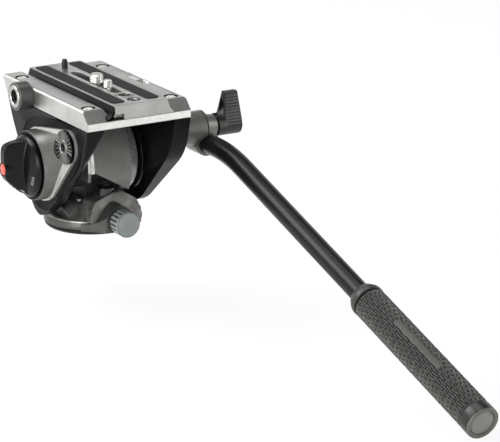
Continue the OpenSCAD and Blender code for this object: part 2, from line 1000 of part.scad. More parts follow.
// Top platform with the two rails
module bridge() {
  land_x = 15.5;
  land_w = 7;
  land_rear = -62;
  land_front = 46;
  groove_x = 38;
  groove_w = 0.6;
  groove_d = 0.5;
  color("#c2c2bf")
    difference() {
      union() {
        intersection() {
          xz_prism(-bridge_rear - 1, bridge_front + 1)
            bridge_cross();
          yz_prism(-bridge_hw - 1, bridge_hw + 1)
            bridge_side();
        }
        for (s = [-1, 1])
          translate([s * land_x - land_w / 2, land_rear, floor_top - 1])
            cube([land_w, land_front - land_rear, plate_z - slide_gap - floor_top + 1]);
      }
      for (x = [-screw_x, screw_x])
        for (y = [screw_rear, screw_front])
          translate([x, y, 0]) {
            zcyl(screw_r, floor_z - 1, rail_top);
            zcyl(screw_well_r, rail_top - screw_well_d, rail_top + 1);
          }
      translate([-groove_x - groove_w / 2, -bridge_rear, rail_top - groove_d])
        cube([groove_w, bridge_rear + bridge_front + 1, groove_d + 1]);
      strip_room(0);
      jaw_room();
      translate([0, lever_y, lever_z])
        xcyl(lever_stud_r + gap, lip_x, bridge_hw + 1);
      translate([button_x, button_rear, floor_top])
        cube([button_w, button_front - button_rear, rail_h + 1]);
    }
}

// Space of the guide strip in the left rail
module strip_room(inset) {
  translate([-lip_x - strip_w, strip_rear + inset, floor_top])
    cube([strip_w + 5, strip_front - strip_rear - 2 * inset, rail_h + 1]);
}

// Space of the clamp jaw in the right rail
module jaw_room() {
  x0 = lip_x - 1;
  translate([x0, jaw_rear, floor_top])
    cube([jaw_x1 + jaw_travel + gap - x0, jaw_len, rail_h - jaw_lid]);
}

// Dovetail strip let into the left rail
module guide_strip() {
  notch_w = 2;
  notch_y = -5;
  color("#a5a5a2")
    difference() {
      intersection() {
        strip_room(0);
        xz_prism(-bridge_rear, bridge_front)
          bridge_cross();
      }
      for (y = [strip_rear, notch_y, strip_front - notch_w])
        translate([-lip_x - 2.2, y - 0.01, floor_top - 1])
          cube([2 * strip_w, notch_w + 0.02, rail_h + 3]);
    }
}

// Four socket screws that hold the bridge on the cheeks
module bridge_screws() {
  key_r = 2.2;
  key_d = 2.2;
  head_z = rail_top - screw_well_d;
  color("#d0d0ce")
    for (x = [-screw_x, screw_x])
      for (y = [screw_rear, screw_front])
        translate([x, y, 0])
          difference() {
            union() {
              zcyl(screw_r, floor_z - cheek_screw_d + 2, head_z);
              zcyl(screw_head_r, head_z, head_z + screw_head_h);
            }
            translate([0, 0, head_z + screw_head_h - key_d])
              cylinder(r = key_r, h = key_d + 1, $fn = 6);
          }
}

// Round boss of the accessory socket
module accessory_boss() {
  color("#6a6a68")
    translate([0, socket_y, socket_z])
      difference() {
        xcyl(socket_boss_r, -bridge_hw - socket_reach, -bridge_hw);
        xcyl(socket_ring_r, -bridge_hw - socket_reach - 1, -bridge_hw + 1);
      }
}

// Threaded chrome ring in the accessory socket
module accessory_ring() {
  proud = 0.8;
  color("#e2e2e0")
    translate([0, socket_y, socket_z])
      difference() {
        xcyl(socket_ring_r, -bridge_hw - socket_reach - proud, -bridge_hw);
        xcyl(socket_r, -bridge_hw - socket_reach - proud - 1, -bridge_hw + 1);
      }
}

// Moving jaw that grips the plate's right flank
module clamp_jaw() {
  z0 = floor_top + jaw_gap;
  z1 = rail_top - jaw_lid - jaw_gap;
  color("#8a8a88")
    difference() {
      xz_prism(jaw_rear + jaw_gap, jaw_rear + jaw_len - jaw_gap)
        polygon([
          [plate_hw + slide_gap, z0], [jaw_x1, z0], [jaw_x1, z1], [lip_x + 0.6, z1],
          [lip_x, z1 - 0.6], [lip_x, plate_z + foot_edge + slide_gap + plate_hw - lip_x],
          [plate_hw + slide_gap, plate_z + foot_edge + slide_gap]
        ]);
      translate([0, lever_y, lever_z])
        xcyl(lever_stud_r + run, jaw_x1 - 3, jaw_x1 + 1);
    }
}

// Lever that opens the clamp jaw
module plate_lock_lever() {
  x0 = bridge_hw + gap;
  arm_t = 4.6;
  color("#222220")
    translate([0, lever_y, lever_z])
      difference() {
        union() {
          xcyl(lever_hub_r, x0, x0 + 3.2);
          yz_prism(x0, x0 + arm_t)
            polygon(rounded([[-3.4, 0], [-5.2, -lever_len], [5.2, -lever_len], [3.4, 0]], [0, 4.5, 4.5, 0]));
        }
        xcyl(lever_stud_r, x0 - 1, x0 + 2.4);
      }
}

// Stud that joins the lever to the jaw
module plate_lock_stud() {
  color("#9a9a98")
    translate([0, lever_y, lever_z])
      xcyl(lever_stud_r, jaw_x1 - 2.8, bridge_hw + gap + 2.4);
}

// Safety release in the right rail
module release_button() {
  g = 0.3;
  color("#e6e6e4")
    yz_prism(button_x + g, button_x + button_w - g)
      polygon([
        [button_rear + g, button_under], [button_front - g, button_under],
        [button_front - g, rail_top - 0.2], [button_front - 13, rail_top - 0.2], [button_rear + g, button_under + 1.8]
      ]);
}

// Spring under the safety release
module release_spring() {
  coil_r = 1.7;
  wire = 0.35;
  turns = 3;
  h = button_under - floor_top;
  color("#c8c8c6")
    translate([button_x + button_w / 2, (button_rear + button_front) / 2, floor_top])
      union() {
        for (k = [0 : turns])
          translate([0, 0, wire + k * (h - 2 * wire) / turns])
            rotate_extrude()
              translate([coil_r, 0])
                circle(r = wire);
        translate([coil_r, 0, 0])
          zcyl(wire * 0.8, 0.1, h - 0.1);
      }
}

// Tilt lock knob: a domed disc with a thumb ridge that slopes back below the axis
module tilt_lock_knob() {
  x0 = cone_face - knob_pocket_d + gap;
  rim_x = x0 + 4.6;
  dome_x = x0 + 9.4;
  foot_x = x0 + 4;
  ridge_hw = 4.4;
  flare = 3;
  boss_r = insert_r + 1;
  color("#1a1a18")
    at_axis()
      difference() {
        union() {
          x_turned()
            polygon([
              [0, -dome_x], [0, -x0], [tilt_knob_r - 0.6, -x0], [tilt_knob_r, -x0 - 0.6],
              [tilt_knob_r, -rim_x + 1.6], [tilt_knob_r - 1.6, -rim_x], [tilt_knob_r * 0.7, -rim_x - 2.4],
              [tilt_knob_r * 0.4, -dome_x + 0.8]
            ]);
          xz_prism(-ridge_hw, ridge_hw)
            polygon(rounded(
              [[-foot_x, tilt_knob_r - 2], [-tilt_knob_reach + 2, tilt_knob_r - 4.5], [-tilt_knob_reach, tilt_knob_r - 9],
                [-tilt_knob_reach, -insert_r - 2], [-dome_x - 1, -tilt_knob_r + 3], [-foot_x, -tilt_knob_r + 2]],
              [0, 2.2, 2, 2.5, 3, 0]));
          xz_prism(-ridge_hw - flare, ridge_hw + flare)
            polygon(rounded(
              [[-foot_x, tilt_knob_r - 4], [-dome_x - 3, tilt_knob_r - 8], [-dome_x - 3, -insert_r],
                [-foot_x, -tilt_knob_r + 4]],
              [0, 3, 5, 0]));
          xcyl(boss_r, -tilt_knob_reach, -foot_x);
        }
        xcyl(insert_r, -tilt_knob_reach - 1, -tilt_knob_reach + 1.6);
        xcyl(tilt_screw_r, -x0 - 10, -x0 + 1);
      }
}

// Plain red insert at the end of the thumb ridge
module tilt_lock_insert() {
  color("#c8281e")
    at_axis()
      xcyl(insert_r, -tilt_knob_reach - 0.2, -tilt_knob_reach + 1.6);
}

// Screw by which the tilt lock knob holds the axle
module tilt_lock_screw() {
  x0 = cone_face - knob_pocket_d + gap + 9.8;
  color("#9a9a98")
    at_axis()
      xcyl(tilt_screw_r, -x0, -(lens_face - lens_t) + 11);
}

// Grooved pan lock knob with a plain face
module pan_lock_knob() {
  back = lock_boss_y + 0.6;
  ribs = 18;
  groove_w = 1.2;
  groove_d = 0.7;
  face_t = 1.4;
  color("#6e7674")
    translate([0, 0, lock_z])
      difference() {
        y_turned()
          polygon([
            [0, back], [pan_knob_r - 1.5, back], [pan_knob_r, back + 1.2],
            [pan_knob_r, pan_knob_reach - 0.6], [pan_knob_r - 0.6, pan_knob_reach], [0, pan_knob_reach]
          ]);
        for (k = [0 : ribs - 1])
          rotate([0, k * 360 / ribs, 0])
            translate([pan_knob_r - groove_d, face_t - pan_knob_reach, -groove_w / 2])
              cube([2 * groove_d, pan_knob_reach - back - face_t + 1, groove_w]);
        ycyl(lock_stud_r, -pan_knob_reach + 4, -back + 1);
      }
}

// Stud of the pan lock with its brake tip
module pan_lock_stud() {
  color("#b5893f")
    translate([0, 0, lock_z])
      ycyl(lock_stud_r, -pan_knob_reach + 4, -brake_r - gap);
}

// Cross outline of the camera plate
module plate_cross() {
  polygon([
    [-plate_hw, plate_z], [plate_hw, plate_z], [plate_hw, plate_z + foot_edge],
    [dove_hw, plate_z + foot_edge + dove_h], [plate_top_hw, plate_top], [-plate_top_hw, plate_top],
    [-dove_hw, plate_z + foot_edge + dove_h], [-plate_hw, plate_z + foot_edge]
  ]);
}

// Slot with round ends along Y
module y_slot(hw, y0, y1, z0, z1) {
  translate([0, 0, z0])
    linear_extrude(z1 - z0)
      union() {
        translate([-hw, y0 + hw])
          square([2 * hw, y1 - y0 - 2 * hw]);
        for (y = [y0 + hw, y1 - hw])
          translate([0, y])
            circle(r = hw);
      }
}

// Sliding camera plate
module camera_plate() {
  notch_w = 8;
  notch_h = 4;
  notch_d = 6;
  color("#b4b4b2")
    difference() {
      xz_prism(plate_rear, plate_front)
        plate_cross();
      y_slot(slot_hw, slot_rear, slot_front, plate_z, plate_top + 1);
      y_slot(track_hw, slot_rear - track_hw + slot_hw, slot_front + track_hw - slot_hw,
        plate_z - 1, plate_z + track_h);
      pad_rooms(plate_top - pad_sink, plate_top + 1);
      translate([0, eyelet_y, 0])
        zcyl(eyelet_r, plate_z - 1, plate_top + 1);
      translate([0, end_screw_y, 0]) {
        zcyl(end_screw_r + 0.6, plate_top - 3, plate_top + 1);
        zcyl(end_screw_r - 2, plate_z - 1, plate_top);
      }
      translate([0, pin_y, 0]) {
        zcyl(pin_r + 0.05, plate_z - 1, plate_top + 1);
        zcyl(pin_body_r + 0.35, plate_z - 1, plate_top - 2);
      }
      translate([-plate_hw + 4, plate_rear - 1, plate_z - 1])
        cube([notch_w, notch_d + 1, notch_h + 1]);
    }
}

// Places of the two rubber pads
module pad_rooms(z0, z1) {
  for (s = [-1, 1])
    translate([s * (pad_in + pad_w / 2), 0, 0])
      translate([0, 0, z0])
        linear_extrude(z1 - z0)
          polygon(rounded(
            [[-pad_w / 2, pad_rear], [pad_w / 2, pad_rear], [pad_w / 2, pad_front], [-pad_w / 2, pad_front]],
            [3, 3, 3, 3]));
}

// Two rubber pads on the plate
module plate_pads() {
  color("#2b2b29")
    pad_rooms(plate_top - pad_sink, plate_top - pad_sink + pad_t);
}

// Ring in the plate through which the screws are put in
module plate_eyelet() {
  color("#3a3a38")
    translate([0, eyelet_y, 0])
      difference() {
        zcyl(eyelet_r, plate_z + track_h, plate_top + 0.3);
        zcyl(eyelet_bore, plate_z, plate_top + 2);
      }
}

// Recessed screw at the rear of the plate
module plate_end_screw() {
  key_r = 1.8;
  color("#cfcfcd")
    translate([0, end_screw_y, 0])
      difference() {
        union() {
          zcyl(end_screw_r - 2, plate_z + 0.5, plate_top - 3);
          zcyl(end_screw_r, plate_top - 3, plate_top - 0.6);
        }
        translate([0, 0, plate_top - 2.2])
          cylinder(r = key_r, h = 3, $fn = 6);
      }
}

// Camera screw: head in the track, neck in the slot, thread above the plate
module camera_screw(thread_r, head_r, up) {
  head_top = plate_z + track_h - 0.35;
  driver_w = 1.4;
  difference() {
    union() {
      zcyl(head_r, plate_z + 0.5, head_top);
      zcyl(neck_r, head_top - 1, plate_top + 0.9);
      zcyl(thread_r, plate_top + 0.4, plate_top + up - 0.6);
      zcyl(thread_r - 0.5, plate_top + up - 0.8, plate_top + up);
    }
    translate([-head_r, -driver_w / 2, plate_top + up - 1.4])
      cube([2 * head_r, driver_w, 3]);
    translate([-2 * head_r, -driver_w / 2, plate_z - 1])
      cube([4 * head_r, driver_w, 2.7]);
  }
}

// Large camera screw
module camera_screw_large() {
  color("#e4e4e2")
    translate([0, screw_big_y, 0])
      camera_screw(screw_big_r, screw_head_big_r, 6.4);
}

// Small camera screw
module camera_screw_small() {
  color("#e4e4e2")
    translate([0, screw_small_y, 0])
      camera_screw(screw_small_r, screw_head_small_r, 5.6);
}

// Spring pin that stops the camera from twisting
module video_pin() {
  up = 6.6;
  cap_h = 1.6;
  color("#202022")
    translate([0, pin_y, 0])
      union() {
        zcyl(pin_body_r, plate_top - 3.4, plate_top - 2.1);
        zcyl(pin_r, plate_top - 3, plate_top + up - cap_h);
        zcyl(pin_r - 0.4, plate_top + up - cap_h - 1, plate_top + up);
      }
}

// Spring under the video pin
module pin_spring() {
  coil_r = 2.2;
  wire = 0.4;
  turns = 3;
  z0 = plate_z + 0.1;
  z1 = plate_top - 3.5;
  color("#c8c8c6")
    translate([0, pin_y, 0])
      union() {
        for (k = [0 : turns])
          translate([0, 0, z0 + wire + k * (z1 - z0 - 2 * wire) / turns])
            rotate_extrude()
              translate([coil_r, 0])
                circle(r = wire);
        translate([coil_r, 0, 0])
          zcyl(wire * 0.8, z0 + 0.1, z1 - 0.1);
      }
}

// Whole outside of the clamp before it is split
module clamp_form() {
  neck_r = 9;
  end_r = 7.6;
  at_rosette() {
    xcyl(clamp_r, clamp_x0, split_x + split_gap / 2);
    x_turned()
      polygon([[0, split_x - 2], [clamp_r, split_x - 2], [clamp_r, cap_x0 + 0.6], [neck_r, cap_x0 + 2],
        [end_r, cap_x1], [0, cap_x1]]);
  }
  translate([bar_x, 0, tube_z])
    ycyl(socket_out_r, socket_mouth, socket_back);
}

// Inner half of the clamp, with teeth that meet the rosette
module clamp_body() {
  color("#3c3c3a")
    difference() {
      union() {
        intersection() {
          clamp_form();
          translate([clamp_x0 + rosette_t - 0.5, rosette_y - 2 * clamp_r, tube_z - 2 * clamp_r])
            cube([split_x - clamp_x0 - rosette_t + 0.5, 4 * clamp_r, 5 * clamp_r]);
        }
        at_rosette()
          translate([clamp_x0 + rosette_t, 0, 0])
            rotate([0, -90, 0])
              tooth_ring(stud_r + run);
      }
      at_rosette()
        xcyl(stud_r + run, clamp_x0 - 5, split_x + 1);
      translate([bar_x, 0, tube_z])
        ycyl(tube_r, rosette_y - clamp_r - 1, tube_back);
    }
}

// Outer half of the clamp
module clamp_cap() {
  color("#3c3c3a")
    difference() {
      intersection() {
        clamp_form();
        translate([cap_x0, rosette_y - 2 * clamp_r, tube_z - 2 * clamp_r])
          cube([2 * clamp_r, 4 * clamp_r, 5 * clamp_r]);
      }
      at_rosette()
        xcyl(stud_r + run, cap_x0 - 1, cap_x1 + 1);
      translate([bar_x, 0, tube_z])
        ycyl(tube_r, rosette_y - clamp_r - 1, tube_back);
    }
}

// Stud through the clamp, turned by the wing knob
module clamp_stud() {
  color("#a0a09e")
    at_rosette()
      xcyl(stud_r, cheek_out - 7, wing_x1 - 6);
}

// Wing knob that tightens the clamp: a hub with a tapered paddle, barred on both sides
module wing_knob() {
  bars = 11;
  slot_r = 0.55;
  tip_z = wing_up - wing_tip_r;
  lean = asin((wing_hub_r - wing_tip_r) / norm([wing_tip_y, tip_z])) - atan2(wing_tip_y, tip_z);
  scoop_r = 8.4;
  scoop_hw = 3.4;
  color("#3a3a38")
    at_rosette()
      difference() {
        union() {
          xcyl(wing_hub_r, wing_x0, wing_x1 - 1);
          hull() {
            xcyl(wing_hub_r, wing_paddle_x0, wing_x1);
            for (y = [-wing_tip_y, wing_tip_y])
              translate([0, y, tip_z])
                xcyl(wing_tip_r, wing_tip_x0, wing_tip_x1);
          }
        }
        for (s = [-1, 1])
          for (k = [0 : bars - 1])
            let (z = k * tip_z / (bars - 1), y = min(wing_hub_r, (wing_hub_r - z * sin(lean)) / cos(lean)))
              translate([0, s * (y + 0.1), z])
                xcyl(slot_r, wing_paddle_x0 + 1.2, wing_x1 + 1);
        translate([wing_paddle_x0 - scoop_r + 2.8, 0, wing_up * 0.6])
          ycyl(scoop_r, -scoop_hw, scoop_hw);
        xcyl(stud_r, wing_x0 - 1, wing_x1 - 6);
      }
}

// Solid path of the tube for a given radius
module tube_path(r, back, over) {
  translate([bar_x, 0, tube_z])
    ycyl(r, bend_start - bend_lap, back);
  translate([bar_x, bend_start, tube_z - bend_r])
    rotate([0, -90, 0])
      rotate([0, 0, -bar_drop])
        rotate_extrude(angle = bar_drop)
          translate([bend_r, 0])
            circle(r = r - bend_slim);
  along_bar()
    ycyl(r, -tube_len - over, bend_lap);
}

// Bent tube of the pan bar
module pan_tube() {
  color("#1c1c1a")
    difference() {
      tube_path(tube_r, tube_back, grip_len - cap_l);
      tube_path(tube_r - tube_wall, tube_back + 1, grip_len);
    }
}

// Smooth collar at the start of the grip
module grip_collar() {
  color("#2a2a28")
    along_bar()
      y_turned()
        polygon([
          [tube_r, tube_len], [tube_r + 2.4, tube_len], [grip_r - 0.6, tube_len + 3],
          [grip_r, tube_len + 5], [grip_r, tube_len + collar_l], [tube_r, tube_len + collar_l]
        ]);
}

// Rubber grip with grooves along it
module grip_sleeve() {
  start = tube_len + collar_l;
  end = tube_len + grip_len - cap_l;
  ribs = 38;
  groove_r = 0.6;
  plain_end = 1.5;
  color("#4a4a46")
    along_bar()
      difference() {
        y_turned()
          polygon([
            [tube_r, start], [grip_r - 0.4, start], [grip_r - 0.2, start + 36], [grip_r - 0.2, end - 30],
            [grip_r + 0.3, end], [tube_r, end]
          ]);
        for (k = [0 : ribs - 1])
          rotate([0, (k + 0.5) * 360 / ribs, 0])
            translate([grip_r - 0.1, 0, 0])
              ycyl(groove_r, -end + plain_end, -start - plain_end);
      }
}

// End cap of the grip
module grip_end_cap() {
  z0 = tube_len + grip_len - cap_l;
  z1 = tube_len + grip_len;
  plug = tube_r - tube_wall;
  color("#8a8a86")
    along_bar()
      y_turned()
        polygon([
          [0, z0 - 6], [plug, z0 - 6], [plug, z0], [grip_r + 0.5, z0], [grip_r + 0.7, z0 + 3],
          [grip_r - 0.3, z1 - 0.6], [grip_r - 1.2, z1], [cap_disc_r, z1], [cap_disc_r, z1 - 2.2], [0, z1 - 2.2]
        ]);
}

// Plain disc let into the end cap
module grip_end_disc() {
  z1 = tube_len + grip_len;
  color("#55554f")
    along_bar()
      ycyl(cap_disc_r, -z1 + 0.8, -z1 + 2.2);
}

base_disc();
pan_spindle();
tripod_thread_bush();
spindle_nut();
base_housing();
pan_bearing();
shoulder_cover();
level_cup();
level_vial();
pedestal();
pedestal_screws();
drum_cover();
end_flange();
counterbalance_drum();
tilt_bearings();
drag_cup();
pan_lock_knob();
pan_lock_stud();
tilt_axle();
drag_rotor();
counterbalance_spring();
left_cheek();
right_cheek();
left_cover();
left_rosette();
left_rosette_bush();
right_rosette();
right_disc_cover();
bridge();
bridge_screws();
accessory_boss();
accessory_ring();
guide_strip();
clamp_jaw();
plate_lock_lever();
plate_lock_stud();
release_button();
release_spring();
tilt_lock_knob();
tilt_lock_insert();
tilt_lock_screw();
camera_plate();
plate_pads();
plate_eyelet();
plate_end_screw();
camera_screw_large();
camera_screw_small();
video_pin();
pin_spring();
clamp_body();
clamp_cap();
clamp_stud();
pan_tube();
grip_collar();
grip_sleeve();
grip_end_cap();
grip_end_disc();
wing_knob();
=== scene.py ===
"""Looks of a fluid video head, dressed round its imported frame.

Every length is in metres in the head's own frame: the origin is the mouth of the tripod thread,
+Z is up, +Y is where the lens points and +X is the operator's right. MM turns millimetres to metres.
"""

import json
import logging
import math
from dataclasses import dataclass, replace
from enum import Enum

import bmesh
import bpy
import numpy as np
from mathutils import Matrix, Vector

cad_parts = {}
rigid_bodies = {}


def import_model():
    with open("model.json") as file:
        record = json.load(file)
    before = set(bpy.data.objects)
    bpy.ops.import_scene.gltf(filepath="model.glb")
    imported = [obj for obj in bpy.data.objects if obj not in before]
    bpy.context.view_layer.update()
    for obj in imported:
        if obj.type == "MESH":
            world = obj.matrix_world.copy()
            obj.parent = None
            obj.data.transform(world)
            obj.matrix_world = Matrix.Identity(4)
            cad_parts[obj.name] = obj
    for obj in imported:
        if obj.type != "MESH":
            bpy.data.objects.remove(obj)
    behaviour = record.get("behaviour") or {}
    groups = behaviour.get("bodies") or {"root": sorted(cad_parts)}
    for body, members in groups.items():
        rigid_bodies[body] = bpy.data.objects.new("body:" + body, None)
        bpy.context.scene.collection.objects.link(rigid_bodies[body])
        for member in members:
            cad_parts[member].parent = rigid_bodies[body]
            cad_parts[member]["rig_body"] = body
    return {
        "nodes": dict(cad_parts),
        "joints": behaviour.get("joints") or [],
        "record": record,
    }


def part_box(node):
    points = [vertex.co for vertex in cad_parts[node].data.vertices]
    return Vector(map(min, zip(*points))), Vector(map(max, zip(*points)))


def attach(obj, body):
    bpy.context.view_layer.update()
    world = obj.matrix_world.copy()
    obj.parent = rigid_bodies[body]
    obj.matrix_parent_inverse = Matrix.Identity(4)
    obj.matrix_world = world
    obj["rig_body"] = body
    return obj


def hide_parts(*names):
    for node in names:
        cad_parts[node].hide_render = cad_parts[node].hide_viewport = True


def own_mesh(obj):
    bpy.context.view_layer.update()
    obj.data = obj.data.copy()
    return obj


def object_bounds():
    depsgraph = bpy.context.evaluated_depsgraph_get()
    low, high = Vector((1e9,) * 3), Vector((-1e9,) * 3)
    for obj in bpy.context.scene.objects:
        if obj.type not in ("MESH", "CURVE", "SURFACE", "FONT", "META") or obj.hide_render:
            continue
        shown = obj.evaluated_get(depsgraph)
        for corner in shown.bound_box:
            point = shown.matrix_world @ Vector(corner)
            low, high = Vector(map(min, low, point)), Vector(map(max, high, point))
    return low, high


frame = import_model()
CAD_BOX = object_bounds()
LOG = logging.getLogger("video_head")
MM = 0.001
TAU = 2 * math.pi
# Points round threaded and hollow pieces, and round plain turned ones
COLUMNS = 72
TURNED_COLUMNS = 96
# Edges that turn by more than this are rounded
EDGE_DEG = 24.0
Point = tuple[float, float, float]
Ways = tuple[Point, Point]
JOINT = {row["name"]: row for row in frame["joints"]}
MOUNT = {row["name"]: row for row in frame["record"]["mounts"]}


def linear(colour: str) -> tuple[float, float, float, float]:
    """Turns an sRGB hex colour into linear light.

    Args:
        colour: six hex digits after a hash sign.

    Returns:
        Red, green, blue and an alpha of one.
    """
    parts = np.array([int(colour[i:i + 2], 16) for i in (1, 3, 5)]) / 255
    light = np.where(parts <= 0.04045, parts / 12.92, ((parts + 0.055) / 1.055) ** 2.4)
    return (*light.tolist(), 1.0)


def add_node(tree: bpy.types.NodeTree, kind: str, inputs: dict, **settings: object) -> bpy.types.Node:
    """Adds one shader node with its settings, values and links.

    Args:
        tree: the material's or the world's node tree.
        kind: the node's type name.
        inputs: for each input's name or number a value, or the output socket that feeds it.
        settings: the node's own properties.

    Returns:
        The new node.
    """
    made = tree.nodes.new(kind)
    for name, value in settings.items():
        setattr(made, name, value)
    for name, value in inputs.items():
        if isinstance(value, bpy.types.NodeSocket):
            tree.links.new(value, made.inputs[name])
        else:
            made.inputs[name].default_value = value
    return made


class Grain(Enum):
    """How a surface was made, which gives it its fine relief."""

    MOULDED = "spark-eroded mould, soft random grains"
    BLASTED = "bead-blasted before anodising, even bright grains"
    TURNED = "turned on a lathe, fine rings about an axis"
    BRUSHED = "drawn along Y, long fine lines"
    SMOOTH = "plated or polished, next to no relief"


@dataclass(frozen=True)
class Hollow:
    """Where a finish takes a second colour, by the distance from an origin along a direction.

    The second colour shows up to deep and is gone from proud on. Mostly it is painted shade: black where
    shade falls in a hollow.
    With across set, the distance is the one from the line through the origin in that direction.
    """

    origin: Point
    along: Point
    deep: float
    proud: float
    colour: str = "#050505"
    across: bool = False

    def share(self, tree: bpy.types.NodeTree, place: bpy.types.NodeSocket) -> bpy.types.NodeSocket:
        """Adds the nodes that tell where the second colour shows.

        Args:
            tree: the material's node tree.
            place: the socket with Object coordinates.

        Returns:
            A socket that is zero where the second colour shows and one where the finish's own does.
        """
        kind = "ShaderNodeVectorMath"
        away = add_node(tree, kind, {0: place, 1: self.origin}, operation="SUBTRACT").outputs[0]
        if self.across:
            run = add_node(tree, kind, {0: away, 1: self.along}, operation="PROJECT").outputs[0]
            side = add_node(tree, kind, {0: away, 1: run}, operation="SUBTRACT").outputs[0]
            far = add_node(tree, kind, {0: side}, operation="LENGTH")
        else:
            far = add_node(tree, kind, {0: away, 1: self.along}, operation="DOT_PRODUCT")
        limits = {"Value": far.outputs["Value"], "From Min": self.deep, "From Max": self.proud}
        return add_node(tree, "ShaderNodeMapRange", limits).outputs[0]


@dataclass(frozen=True)
class Finish:
    """An opaque finish: two close colours, a roughness and a relief with a real size.

    Grains are finer on the real head than one pixel, so grain_mm is as coarse as it needs to show.
    """

    name: str
    colour: str
    shade: str
    roughness: float
    metallic: float = 0.0
    grain: Grain = Grain.MOULDED
    grain_mm: float = 0.9
    relief_mm: float = 0.02
    mottle_mm: float = 16.0
    spread: float = 0.06
    coat: float = 0.0
    ior: float = 1.5
    turn_axis: str = "X"
    turn_centre: Point = (0.0, 0.0, 0.0)
    hollow: Hollow | None = None

    def material(self) -> bpy.types.Material:
        """Makes the finish's Blender material, once.

        Returns:
            The material.
        """
        known = bpy.data.materials.get(self.name)
        if known is not None:
            return known
        made = bpy.data.materials.new(self.name)
        made.use_nodes = True
        made.diffuse_color = linear(self.colour)
        tree = made.node_tree
        shader = tree.nodes["Principled BSDF"]
        place = add_node(tree, "ShaderNodeTexCoord", {}).outputs["Object"]
        mottle = add_node(
            tree, "ShaderNodeTexNoise",
            {"Vector": place, "Scale": 1 / (self.mottle_mm * MM), "Detail": 3.0, "Roughness": 0.6})
        share = add_node(
            tree, "ShaderNodeMapRange",
            {"Value": mottle.outputs["Fac"], "From Min": 0.3, "From Max": 0.7}, clamp=True)
        tint = add_node(
            tree, "ShaderNodeMix",
            {0: share.outputs[0], 6: linear(self.colour), 7: linear(self.shade)}, data_type="RGBA")
        colour = tint.outputs[2]
        # The hollow's second colour, mostly black painted shade in hollows
        if self.hollow is not None:
            colour = add_node(
                tree, "ShaderNodeMix",
                {0: self.hollow.share(tree, place), 6: linear(self.hollow.colour), 7: colour},
                data_type="RGBA").outputs[2]
        relief = self.relief(tree, place)
        low, high = self.roughness - self.spread, self.roughness + self.spread
        rough = add_node(
            tree, "ShaderNodeMapRange", {"Value": relief, "To Min": low, "To Max": high})
        bump = add_node(
            tree, "ShaderNodeBump",
            {"Height": relief, "Distance": self.relief_mm * MM, "Strength": 1.0})
        tree.links.new(colour, shader.inputs["Base Color"])
        tree.links.new(rough.outputs[0], shader.inputs["Roughness"])
        tree.links.new(bump.outputs[0], shader.inputs["Normal"])
        shader.inputs["Metallic"].default_value = self.metallic
        shader.inputs["Coat Weight"].default_value = self.coat
        shader.inputs["Coat Roughness"].default_value = 0.12
        if self.metallic < 0.5:
            shader.inputs["IOR"].default_value = self.ior
        return made

    def relief(self, tree: bpy.types.NodeTree, place: bpy.types.NodeSocket) -> bpy.types.NodeSocket:
        """Adds the nodes of the fine relief.

        Args:
            tree: the material's node tree.
            place: the socket with Object coordinates.

        Returns:
            The socket with the relief's height, from zero to one.
        """
        per_grain = 1 / (self.grain_mm * MM)
        if self.grain is Grain.TURNED:
            centred = add_node(
                tree, "ShaderNodeMapping",
                {"Vector": place, "Location": tuple(-c for c in self.turn_centre)}, vector_type="POINT")
            rings = add_node(
                tree, "ShaderNodeTexWave",
                {"Vector": centred.outputs[0], "Scale": per_grain / TAU, "Distortion": 0.6, "Detail": 1.0},
                wave_type="RINGS", rings_direction=self.turn_axis)
            return rings.outputs["Fac"]
        stretch = (1.0, 0.03, 1.0) if self.grain is Grain.BRUSHED else (1.0, 1.0, 1.0)
        scaled = add_node(
            tree, "ShaderNodeMapping", {"Vector": place, "Scale": stretch}, vector_type="POINT")
        grains = add_node(
            tree, "ShaderNodeTexNoise",
            {"Vector": scaled.outputs[0], "Scale": per_grain, "Detail": 2.0, "Roughness": 0.55})
        return grains.outputs["Fac"]


@dataclass(frozen=True)
class ClearFinish:
    """Clear glass, smooth on both sides."""

    name: str
    colour: str
    roughness: float = 0.02
    ior: float = 1.47

    def material(self) -> bpy.types.Material:
        """Makes the finish's Blender material, once.

        Returns:
            The material.
        """
        known = bpy.data.materials.get(self.name)
        if known is not None:
            return known
        made = bpy.data.materials.new(self.name)
        made.use_nodes = True
        shader = made.node_tree.nodes["Principled BSDF"]
        shader.inputs["Base Color"].default_value = linear(self.colour)
        shader.inputs["Roughness"].default_value = self.roughness
        shader.inputs["IOR"].default_value = self.ior
        shader.inputs["Transmission Weight"].default_value = 1.0
        return made


TILT_AXIS = tuple(JOINT["tilt"]["pos_m"])

# Anodised aluminium, bead-blasted or drawn: pale, soft grey with a fine sparkle
BRIDGE_ALUMINIUM = Finish(
    "anodised_aluminium_bridge", "#C6C6C4", "#B4B4B2", 0.36, 1.0, Grain.BLASTED, 1.1, 0.024)
PLATE_ALUMINIUM = Finish(
    "anodised_aluminium_plate_painted_flank_shade", "#C2C2C0", "#B2B2B0", 0.34, 1.0, Grain.BLASTED, 1.1, 0.024)
STRIP_ALUMINIUM = Finish(
    "anodised_aluminium_strip", "#A2A2A0", "#949492", 0.32, 1.0, Grain.BRUSHED, 0.7, 0.01)
# Bare aluminium, polished, turned or milled: nearly white where it meets the light
POLISHED_ALUMINIUM = Finish(
    "polished_aluminium", "#E4E4E2", "#D2D2D0", 0.22, 1.0, Grain.BRUSHED, 0.7, 0.006)
MACHINED_ALUMINIUM = Finish(
    "machined_aluminium", "#E6E6E3", "#D4D4D1", 0.30, 1.0, Grain.TURNED, 0.9, 0.012,
    turn_axis="X", turn_centre=TILT_AXIS)
MILLED_ALUMINIUM = Finish(
    "milled_aluminium_edge", "#FFFFFD", "#ECECE9", 0.34, 1.0, Grain.BLASTED, 1.1, 0.03, 3.0)
# Dull nickel on the bridge screws and the camera screws: pale and soft
NICKEL = Finish("dull_nickel_plate", "#F0F0EC", "#E4E4E0", 0.34, 1.0, Grain.SMOOTH, 1.2, 0.004)
